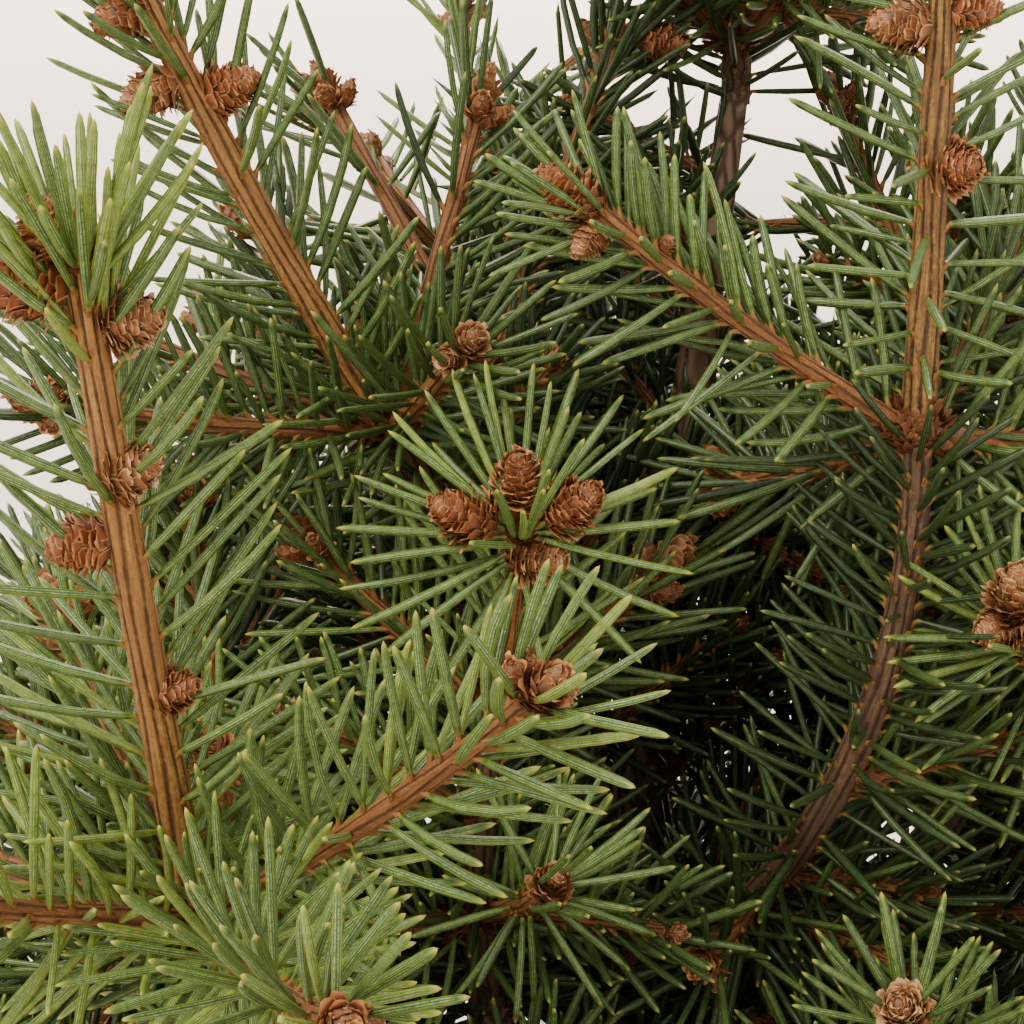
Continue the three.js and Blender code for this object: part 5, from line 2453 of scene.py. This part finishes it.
@dataclass
class Buds:
    """Resting buds on the shoots, and the dark collars that last year's buds left.

    A front bud is set where the picture shows it, and the point of its shoot nearest to it is
    looked for in so many steps. Side buds stand back from the tip, one to each side turn.
    """

    crown: Crown
    seed: int = 11
    bud_seed: int = 3000
    twig_seed: int = 17
    collar_seed: int = 400
    whorl_seed: int = 900
    core_sides: int = 6
    core_levels: tuple[float, ...] = (-0.24, 0.0, 0.3, 0.65, 0.9)
    core_share: float = 0.9
    core_foot: float = 0.5
    widest: float = 0.36
    foot_share: float = 0.62
    point_span: float = 0.68
    point_power: float = 1.9
    bluntness: float = 0.72
    search_from: float = 0.1
    search_steps: int = 180
    seat: float = 0.9
    end_share: float = 0.97
    end_reach: float = 2.4
    end_turn: float = 0.25
    end_length: float = 5.0
    length_spread: float = 0.8
    end_width: float = 0.7
    end_sunk: float = 0.4
    third_share: float = 0.6
    side_turn: float = 2.3
    turn_spread: float = 1.2
    side_back: Pair = (0.6, 2.5)
    side_out: float = 0.5
    side_lean: float = 0.75
    side_length: float = 0.82
    side_width: float = 0.58
    fine_size: float = 0.62

    def profile(self, share: Array) -> Array:
        """An egg with a blunt point.

        Args:
            share: shares of a bud's length.

        Returns:
            Its half width there, for a greatest half width of one.
        """
        low = self.foot_share + (1 - self.foot_share) * np.sin(
            np.pi / 2 * np.clip(share / self.widest, 0, 1))
        fall = np.abs((share - self.widest) / self.point_span) ** self.point_power
        high = np.clip(1 - fall, 0.01, 1) ** self.bluntness
        return np.where(share < self.widest, low, high)

    def add_scales(self, draft: Draft, buds: list[Bud], kind: int) -> None:
        """Add all buds of one grid, each as scales in a golden-angle spiral.

        Every array here is buds by scales by rows by columns.

        Args:
            draft: the piece they go into.
            buds: all the buds.
            kind: the number of the grid.
        """
        picked = np.flatnonzero([bud.grid == kind for bud in buds])
        grid, count = SCALE_GRIDS[kind], len(picked)
        chance = np.random.default_rng(self.seed + kind)
        foot, way = np.array([(buds[i].foot, buds[i].way) for i in picked]).swapaxes(0, 1)
        sizes = np.array([(buds[i].length, buds[i].width) for i in picked])
        length, width = sizes.T.reshape(2, -1, 1, 1, 1)
        number = np.arange(grid.scales).reshape(1, -1, 1, 1)
        v, w = (np.array(row).reshape(1, 1, -1, 1) for row in (grid.rows, grid.widths))
        c = np.array(grid.columns).reshape(1, 1, 1, -1)
        size = (count, grid.scales, len(grid.rows), len(grid.columns))
        each = (count, grid.scales, 1, 1)
        start = SCALES.crowding * (number / grid.scales) ** SCALES.crowding
        long = grid.span * v * (1 - SCALES.shortening * start)
        level = start + long * chance.uniform(*SCALES.length, each)
        half = self.profile(np.minimum(level, 1.0))
        phase = np.arange(count).reshape(-1, 1, 1, 1) * SCALES.phase
        foot_stray, tip_stray = SCALES.turn
        jitter = chance.normal(0, foot_stray, each) + chance.normal(0, tip_stray, each) * v
        spread = grid.half_width * chance.uniform(*SCALES.width, each)
        spread = spread / np.maximum(half, SCALES.narrowest)
        angle = number * GOLDEN_TURN + phase + jitter + c * w * spread
        keel = 1.0 + SCALES.keel * (1 - np.abs(c))
        low, fall = SCALES.lift
        lift = ((low - fall * start) * v ** 3 * chance.uniform(*SCALES.lift_spread, each)
                + chance.normal(0, SCALES.rim, size) * v)
        foot_out, more_out = SCALES.out
        out = width / 2 * (half * keel * (foot_out + more_out * v) + lift)
        rise = length * (level - SCALES.sunk + chance.normal(0, SCALES.rise, size) * v)
        runs = np.broadcast_arrays(out * np.cos(angle), out * np.sin(angle), rise)
        points = foot.reshape(-1, 1, 1, 1, 3) + sum(
            way_of.reshape(-1, 1, 1, 1, 3) * run[..., None]
            for way_of, run in zip((*square_to(way), way), runs))
        columns = len(grid.columns)
        points = points.reshape(-1, len(grid.rows) * columns, 3)
        a = np.arange(len(grid.rows) - 1)[:, None] * columns + np.arange(columns - 1)[None]
        quads = np.stack([a, a + 1, a + columns + 1, a + columns], -1).reshape(-1, 4)
        tone = np.repeat((picked * 7 // 3) % 2, grid.scales)
        spots = np.empty((len(points), len(grid.rows), columns, 2))
        lane = 0.02 + 0.96 * (np.array(grid.columns)[None] + 1) / 2
        spots[..., 0] = (lane[None] + tone[:, None, None]) / SCALE_CELLS
        spots[..., 1] = (np.array(grid.rows)[:, None] * 0.98 + 0.01)[None]
        draft.add_copies(points, quads, NO_TRIANGLES, spots.reshape(len(points), -1, 2), tone)

    def add_cores(self, draft: Draft, buds: list[Bud]) -> None:
        """Add the solid egg inside each bud.

        Args:
            draft: the piece they go into.
            buds: all the buds.
        """
        level, sides = np.array(self.core_levels), self.core_sides
        steps = len(level) - 1
        quads, cap = ring_faces(steps, sides), fan(steps * sides, sides, len(level) * sides)
        share = np.where(level < 0, self.core_foot, self.core_share)
        inner = self.profile(np.maximum(level, 0)) * share
        for bud in buds:
            ring = about(*square_to(bud.way), full_turn(sides))
            points = (bud.foot + bud.way * (bud.length * level)[:, None, None]
                      + (bud.width / 2 * inner)[:, None, None] * ring[None]).reshape(-1, 3)
            points = np.vstack([points, bud.foot + bud.way * bud.length])
            # Painted shade: each core takes the dark root colour of the red scales.
            spots = np.tile([[0.5 / SCALE_CELLS, 0.1]], (len(points), 1))
            draft.add(points, quads, cap, spots)

    def add_husks(self, draft: Draft, base: Array, radial: Array, forward: Array,
                  chance: np.random.Generator, size: Pair) -> None:
        """Add small papery scales.

        Args:
            draft: the piece they go into.
            base: their feet.
            radial: directions outward at their feet.
            forward: the directions that they point along.
            chance: source of random numbers.
            size: their least and greatest length.
        """
        count = len(base)
        sideways = unit(np.cross(forward, radial))
        long = chance.uniform(*size, count)[:, None]
        lift = chance.uniform(*HUSKS.lift, count)[:, None]
        half = chance.uniform(*HUSKS.half_width, count)[:, None]
        outer = base + (forward + radial * lift) * long
        middle = (base + outer) / 2 + radial * HUSKS.hump
        side = sideways * half
        points = np.stack([base - side * HUSKS.foot_width, base + side * HUSKS.foot_width,
                           middle + side, middle - side, outer], 1)
        spots = np.array([[0.05, 0.02], [0.95, 0.02], [0.98, 0.55], [0.02, 0.55], [0.5, 0.98]])
        spots[:, 0] = (spots[:, 0] + SCALE_CELLS - 1) / SCALE_CELLS
        draft.add_copies(points, np.array([[0, 1, 2, 3]]), np.array([[3, 2, 4]]),
                         np.broadcast_to(spots[None], (count, 5, 2)), np.zeros(count, int))

    def add_collars(self, draft: Draft) -> None:
        """Add dark scales round the foot of each shoot and over the front whorls.

        Args:
            draft: the piece they go into.
        """
        for number, twig in enumerate(self.crown.twigs):
            if not twig.green:
                continue
            count = HUSKS.counts[0 if twig.close else 1]
            count //= 3 if twig.kind is Kind.FINE else 1
            chance = np.random.default_rng(self.collar_seed + number)
            turn = np.arange(count) * GOLDEN_TURN + chance.uniform(0, HUSKS.stray, count)
            start = chance.uniform(*HUSKS.along, count) / twig.axis.length
            forward, across, along = twig.axis.frames(start)
            radial = about(across, along, turn)
            base = twig.axis.at(start) + radial * GROWTH[twig.kind].foot_radius * HUSKS.seat
            self.add_husks(draft, base, radial, forward, chance, HUSKS.length)
        for number, mass in enumerate(self.crown.masses):
            if mass.name not in FRONT_NAMES:
                continue
            chance = np.random.default_rng(self.whorl_seed + number)
            whorl_reach, tip_reach = HUSKS.reaches
            ends = [(mass.stem, whorl_reach)]
            ends += [(mass.shoots[rank], tip_reach) for name, rank in HERO_SHOOTS
                     if name == mass.name and rank < len(mass.shoots)]
            for axis, reach in ends:
                radial = unit(chance.normal(0, 1, (HUSKS.whorl_count, 3)))
                forward = axis.direction(1)
                out = chance.uniform(reach, reach * HUSKS.reach_spread, (HUSKS.whorl_count, 1))
                base = axis.end + radial * out
                self.add_husks(draft, base - forward * HUSKS.sunk, radial,
                               unit(forward + radial * HUSKS.splay), chance, HUSKS.whorl_length)

    def front_buds(self) -> list[Bud]:
        """Set the buds of the front shoots.

        Returns:
            The buds.
        """
        buds = []
        right, up, forward = VIEW.axes()
        named = {mass.name: mass for mass in self.crown.masses}
        share = np.linspace(self.search_from, 1.0, self.search_steps + 1)
        for spot in FRONT_BUDS:
            mass = named[spot.mass]
            axis = mass.shoots[spot.shoot]
            seen = VIEW.seen(axis.at(share))
            best = int(np.hypot(seen[:, 0] - spot.x, seen[:, 1] - spot.y).argmin())
            t, (x, y, depth) = share[best], seen[best]
            offset = (right * (spot.x - x) - up * (spot.y - y)) / VIEW.scale_at(depth)
            leads = mass.plan.shoots[spot.shoot].length > LEAST_LEADER
            radius = GROWTH[Kind.LEADER if leads else Kind.SHOOT].radius(t)
            way = offset / max(np.linalg.norm(offset), 1.0) - forward * spot.towards
            if t > self.end_share:
                way = way + axis.direction(t) * self.end_turn
            way = unit(way)
            centre = axis.at(t) + offset
            foot = centre - way * spot.length * 0.5
            reach = np.linalg.norm(foot - axis.at(t))
            most = radius * self.seat + (self.end_reach if t > self.end_share else 0.0)
            if reach > most:
                foot = axis.at(t) + (foot - axis.at(t)) * most / reach
                way = unit(centre - foot)
            buds.append(Bud(foot, way, spot.length, spot.width, HERO_GRID))
        return buds

    def shoot_buds(self) -> list[Bud]:
        """Set a bud at the end of every other shoot and a few beside it.

        Returns:
            The buds.
        """
        buds = []
        done = {(spot.mass, spot.shoot) for spot in FRONT_BUDS}
        for number, twig in enumerate(self.crown.twigs):
            if not twig.green:
                continue
            fine = twig.kind is Kind.FINE
            ends_in_view = VIEW.sees(twig.axis.end[None], 0, -200, 200)
            if not fine and (twig.mass, twig.rank) in done and ends_in_view:
                continue
            dice = Dice(self.bud_seed + self.twig_seed * number)
            grid = CLOSE_GRID if twig.close else FAR_GRID
            size = self.end_length + dice.around(self.length_spread)
            size *= self.fine_size if fine else 1.0
            end, way = twig.axis.end, twig.axis.direction(1)
            foot = end - way * self.end_sunk
            buds.append(Bud(foot, way, size, size * self.end_width, grid))
            across, along = square_to(way)
            for side in range(0 if fine else 2 + (dice.next() > self.third_share)):
                turn = side * self.side_turn + dice.around(self.turn_spread) + number
                radial = across * math.cos(turn) + along * math.sin(turn)
                least, more = self.side_back
                foot = end - way * (least + more * dice.next()) + radial * self.side_out
                buds.append(Bud(foot, way * self.side_lean + radial, size * self.side_length,
                                size * self.side_width, grid))
        return buds

    def build(self) -> None:
        """Build the buds as one piece and the collars as another."""
        buds = [*self.front_buds(), *self.shoot_buds()]
        scales, collars = Draft(), Draft()
        for kind in (HERO_GRID, CLOSE_GRID, FAR_GRID):
            self.add_scales(scales, buds, kind)
        self.add_cores(scales, buds)
        self.add_collars(collars)
        red, tan, collar = (finish.material(name) for name, finish in SCALE_FINISHES.items())
        log.info("resting_buds: %d buds, %d triangles", len(buds), scales.triangle_count())
        settle(scales.build("resting_buds", [red, tan]))
        log.info("shoot_collars: %d triangles", collars.triangle_count())
        settle(collars.build("shoot_collars", [collar]))


# ---- pot and soil


@dataclass
class ClayPot:
    """The turned clay pot with its rim band, rounded edges and drain holes.

    The loops are radii on its underside, heights up its rim band, and how many there are up its
    wall, at shares of it, and down its inner face, between gaps to its lip and to its floor.
    """

    sides: int = 144
    round_steps: int = 5
    lip_round: float = 2.6
    inner_round: float = 1.6
    band_round: float = 1.6
    foot_round: float = 2.0
    drain_sides: int = 32
    underside_loops: tuple[float, ...] = (0.0, 20.0, 40.0)
    wall_loops: int = 12
    wall_shares: Pair = (0.08, 0.995)
    band_loops: tuple[float, ...] = (9.0, 16.0)
    inner_loops: int = 9
    inner_gaps: Pair = (6.0, 2.0)
    floor_corner: float = 1.5
    sharp_from: float = 38.0

    def arc(self, centre: Pair, radius: float, begin: float, end: float) -> list[Pair]:
        """Points of a rounded edge, from one angle to another in degrees."""
        steps = np.radians(np.linspace(begin, end, self.round_steps + 1))
        return [(centre[0] + radius * math.cos(a), centre[1] + radius * math.sin(a)) for a in steps]

    def profile(self) -> Array:
        """The pot's section.

        Returns:
            Points from the middle of its underside round to the middle of its floor.
        """
        shoulder = POT.height - POT.rim_height
        lip, band, foot = self.lip_round, self.band_round, self.foot_round
        inner = POT.inner(POT.height)
        points = [(radius, 0.0) for radius in self.underside_loops]
        points += self.arc((POT.base_radius - foot, foot), foot, -90, -5)
        points += [(POT.base_radius + (POT.shoulder_radius - POT.base_radius) * s,
                    foot + (shoulder - foot) * s)
                   for s in np.linspace(*self.wall_shares, self.wall_loops)]
        points += self.arc((POT.rim_radius - band, shoulder + band), band, -90, 0)
        points += [(POT.rim_radius, shoulder + rise) for rise in self.band_loops]
        points += self.arc((POT.rim_radius - lip, POT.height - lip), lip, 0, 90)
        rounded = self.inner_round
        points += self.arc((inner + rounded, POT.height - rounded), rounded, 90, 180)
        high, low = POT.height - self.inner_gaps[0], POT.floor + self.inner_gaps[1]
        points += [(POT.inner(h), h) for h in np.linspace(high, low, self.inner_loops)]
        across = (POT.inner(POT.floor) - self.floor_corner, *self.underside_loops[1::-1])
        points += [(radius, POT.floor) for radius in across]
        return np.array(points)

    def turned(self, profile: Array, sides: int) -> Draft:
        """A profile turned about the pot's axis.

        Args:
            profile: its points, the first and the last on the axis.
            sides: how many sides a turn has.

        Returns:
            The closed shape.
        """
        middle = profile[1:-1]
        points = flat_ring(sides)[None] * middle[:, None, :1]
        points[..., 2] = middle[:, None, 1]
        ends = np.array([[0, 0, profile[0, 1]], [0, 0, profile[-1, 1]]])
        draft = Draft()
        add_rings(draft, np.vstack([points.reshape(-1, 3), ends]), len(middle) - 1, sides)
        return draft

    def drill(self, pot: bpy.types.Object) -> None:
        """Cut the drain holes through the floor.

        Args:
            pot: the whole pot.
        """
        draft = Draft()
        ring = flat_ring(self.drain_sides) * POT.drain_radius
        for hole in range(POT.drain_count):
            centre = place((360 * hole / POT.drain_count + 30, POT.drain_circle, 0))
            low, high = centre - UP * POT.floor, centre + UP * 2 * POT.floor
            points = np.vstack([low + ring, high + ring, low, high])
            add_rings(draft, points, 1, self.drain_sides)
        cutter = draft.build("drain_cutter", [], mapped=False)
        cut = pot.modifiers.new("drains", "BOOLEAN")
        cut.operation, cut.solver, cut.object = "DIFFERENCE", "EXACT", cutter
        bpy.context.view_layer.update()
        evaluated = pot.evaluated_get(bpy.context.evaluated_depsgraph_get())
        finished = bpy.data.meshes.new_from_object(evaluated)
        pot.modifiers.clear()
        pot.data = finished
        bpy.data.objects.remove(cutter)

    def build(self) -> None:
        """Build the pot."""
        pot = self.turned(self.profile(), self.sides).build(
            "clay_pot", [ClayFinish().material("fired_clay")], mapped=False)
        self.drill(pot)
        pot.data.set_sharp_from_angle(angle=math.radians(self.sharp_from))
        settle(pot, ["pot"])


@dataclass
class PottingSoil:
    """The soil's uneven surface with loose crumbs and bits of bark.

    The fractal is its falling share, its rising rate and its number of layers. Shares are how
    many crumbs have the second finish, and how many of all have the finish after their own.
    """

    seed: int = 21
    fractal: tuple[float, float, int] = (0.8, 2.2, 4)
    bump_width: float = 6
    bump_layer: float = 3.0
    lowered: float = 0.5
    rings: int = 60
    sides: int = 150
    crumbs: int = 1500
    flat_height: float = 113
    edge_height: float = 110
    flat_radius: float = 16
    underside: float = 8.4
    play: float = 0.6
    bumps: float = 1.5
    calm_radius: float = 9
    calm_span: float = 8
    middle_radius: float = 0.5
    clear_radius: float = 11
    wall_gap: float = 2.5
    crumb_gamma: Pair = (3.0, 0.34)
    crumb_size: Pair = (0.35, 3.0)
    crumb_stretch: Pair = (0.45, 1.25)
    crumb_lumps: float = 0.16
    crumb_sunk: float = 0.2
    crumb_rise: float = 0.35
    shares: Pair = (0.3, 0.04)

    @property
    def edge(self) -> float:
        """How far the surface reaches from the pot's axis."""
        return POT.inner(self.edge_height) - self.play

    def level(self, radius: Array) -> Array:
        """The height of the solid's surface at distances from the pot's axis."""
        share = np.clip((radius - self.flat_radius) / (self.edge - self.flat_radius), 0, 1)
        return self.flat_height + (self.edge_height - self.flat_height) * share

    def surface(self, draft: Draft) -> None:
        """Add the bumpy surface and the plain sides and underside.

        Args:
            draft: the piece they go into.
        """
        radius = np.linspace(self.middle_radius, self.edge, self.rings)
        ring = flat_ring(self.sides)
        top = radius[:, None, None] * ring[None]
        wide, layer = self.bump_width, self.bump_layer
        rough = np.array([noise.fractal(Vector((x / wide, y / wide, layer)), *self.fractal)
                          for x, y, _ in top.reshape(-1, 3)]).reshape(top.shape[:2])
        calm = np.clip((radius - self.calm_radius) / self.calm_span, 0, 1)[:, None]
        top[..., 2] = self.level(radius)[:, None] - self.lowered + rough * self.bumps * calm
        low = UP * self.underside
        bottom = (POT.inner(self.underside) - self.play) * ring + low
        points = np.vstack([bottom, top[::-1].reshape(-1, 3), low, UP * top[0, :, 2].mean()])
        add_rings(draft, points, self.rings, self.sides)

    def loose(self, draft: Draft) -> None:
        """Scatter crumbs and flat bits of bark.

        Args:
            draft: the piece they go into.
        """
        chance = np.random.default_rng(self.seed)
        ball = bpy.data.meshes.new("crumb")
        shape = bmesh.new()
        bmesh.ops.create_icosphere(shape, subdivisions=1, radius=1.0)
        shape.to_mesh(ball)
        shape.free()
        corners = np.array([v.co for v in ball.vertices])
        faces = np.array([p.vertices for p in ball.polygons])
        bpy.data.meshes.remove(ball)
        span = POT.inner(self.edge_height) - self.wall_gap - self.clear_radius
        reach = self.clear_radius + span * np.sqrt(chance.random(self.crumbs))
        turn = chance.uniform(0, 2 * math.pi, self.crumbs)
        size = chance.gamma(*self.crumb_gamma, self.crumbs)[:, None].clip(*self.crumb_size)
        size = size * chance.uniform(*self.crumb_stretch, (self.crumbs, 3))
        swell = chance.normal(0, self.crumb_lumps, (self.crumbs, len(corners), 1))
        lump = corners[None] * (1 + swell)
        lump = lump * size[:, None]
        tilt = np.linalg.qr(chance.normal(0, 1, (self.crumbs, 3, 3)))[0]
        lump = np.einsum("nij,nvj->nvi", tilt, lump)
        height = self.level(reach) - self.crumb_sunk + self.crumb_rise * size.min(1)
        centre = np.stack([reach * np.cos(turn), reach * np.sin(turn), height], -1)
        lump = lump + centre[:, None]
        slots = (chance.random(self.crumbs) < self.shares[0]).astype(int)
        slots = slots + (chance.random(self.crumbs) < self.shares[1])
        draft.add_copies(lump, NO_QUADS, faces, np.zeros((*lump.shape[:2], 2)), slots)

    def build(self) -> None:
        """Build the soil."""
        draft = Draft()
        self.surface(draft)
        self.loose(draft)
        materials = [finish.material(name) for name, finish in SOIL_FINISHES.items()]
        settle(draft.build("potting_soil", materials, smooth=False, mapped=False), ["soil"])


# ---- studio


class LampKind(Enum):
    """What a light is: a round soft box near by, or the wide sky far off."""

    SOFTBOX = "AREA"
    SKY = "SUN"


@dataclass(frozen=True)
class Lamp:
    """One soft light.

    Its size is a soft box's width in metres or a sky's spread in degrees, and its power is in
    watts or, for a sky, in watts to the square metre.
    """

    name: str
    kind: LampKind
    place: Triple
    target: Triple
    size: float
    power: float
    colour: Colour

    def build(self) -> None:
        """Hang the light, turned to its target and unseen by the camera."""
        lamp = bpy.data.lights.new(self.name, self.kind.value)
        lamp.energy, lamp.color = self.power, self.colour
        if self.kind is LampKind.SOFTBOX:
            lamp.shape, lamp.size = "DISK", self.size
        else:
            lamp.angle = math.radians(self.size)
        holder = bpy.data.objects.new(self.name, lamp)
        holder.location = self.place
        holder.visible_camera = False
        run = Vector(self.target) - Vector(self.place)
        holder.rotation_euler = run.to_track_quat("-Z", "Y").to_euler()
        bpy.context.scene.collection.objects.link(holder)


LAMPS = (
    Lamp("sky_light", LampKind.SKY, (-1.0, -0.85, 1.7), (0, 0, 0), 32.0, 2.5, (1.0, 0.95, 0.88)),
    Lamp("floor_light", LampKind.SOFTBOX, (0, 4.4, 2.6), (0, 4.4, 0), 3.0, 420.0,
         (1.0, 0.83, 0.70)),
    Lamp("key_light", LampKind.SOFTBOX, (-0.75, -0.75, 1.35), (0, 0, 0.26), 0.9, 10.0,
         (1.0, 0.96, 0.9)),
    Lamp("fill_light", LampKind.SOFTBOX, (1.1, -1.0, 0.75), (0, 0, 0.24), 1.3, 4.0,
         (0.97, 0.98, 1.0)),
    Lamp("back_light", LampKind.SOFTBOX, (0.35, 1.25, 1.15), (0, 0, 0.28), 1.0, 12.0,
         (1.0, 0.97, 0.92)),
)


@dataclass
class Studio:
    """Pale floor, soft light and the camera."""

    floor_half: float = 9.0
    sky: Colour = (0.95, 0.905, 0.85)
    sky_strength: float = 1.15
    lights: tuple[Lamp, ...] = LAMPS
    clipping: Pair = (0.01, 60.0)

    def floor(self) -> None:
        """Lay the floor."""
        half = self.floor_half / MM
        draft = Draft()
        corners = [[-half, -half, 0], [half, -half, 0], [half, half, 0], [-half, half, 0]]
        draft.add(np.array(corners), np.array([[0, 1, 2, 3]]))
        floor = draft.build("floor", [FloorFinish().material("pale_floor")], mapped=False)

    def world(self) -> None:
        """Light the surroundings evenly."""
        world = bpy.data.worlds.new("soft_sky")
        world.use_nodes = True
        backdrop = world.node_tree.nodes["Background"]
        backdrop.inputs["Color"].default_value = (*self.sky, 1.0)
        backdrop.inputs["Strength"].default_value = self.sky_strength
        bpy.context.scene.world = world

    def camera(self) -> None:
        """Set the camera where the front view has it."""
        lens = bpy.data.cameras.new("front_camera")
        lens.lens, lens.sensor_width, lens.sensor_fit = VIEW.lens, VIEW.sensor, "HORIZONTAL"
        lens.clip_start, lens.clip_end = self.clipping
        holder = bpy.data.objects.new("front_camera", lens)
        holder.location = Vector(VIEW.eye() * MM)
        forward = Vector(VIEW.axes()[2])
        holder.rotation_euler = forward.to_track_quat("-Z", "Y").to_euler()
        bpy.context.scene.collection.objects.link(holder)
        bpy.context.scene.camera = holder

    def build(self) -> None:
        """Build the studio."""
        self.floor()
        self.world()
        self.camera()
        for light in self.lights:
            light.build()


def main() -> None:
    """Build the plant and the studio."""
    logging.basicConfig(level=logging.INFO, format="%(message)s", stream=sys.stdout)
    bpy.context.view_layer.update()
    crown = Crown()
    crown.build()
    log.info("%d masses, %d twigs", len(crown.masses), len(crown.twigs))
    ClayPot().build()
    PottingSoil().build()
    TrunkAndBoughs(crown).build()
    foliage = Foliage(crown)
    rows = foliage.build()
    Twigs(crown).build(foliage, rows)
    Buds(crown).build()
    Studio().build()
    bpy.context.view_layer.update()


if __name__ == "__main__":
    main()
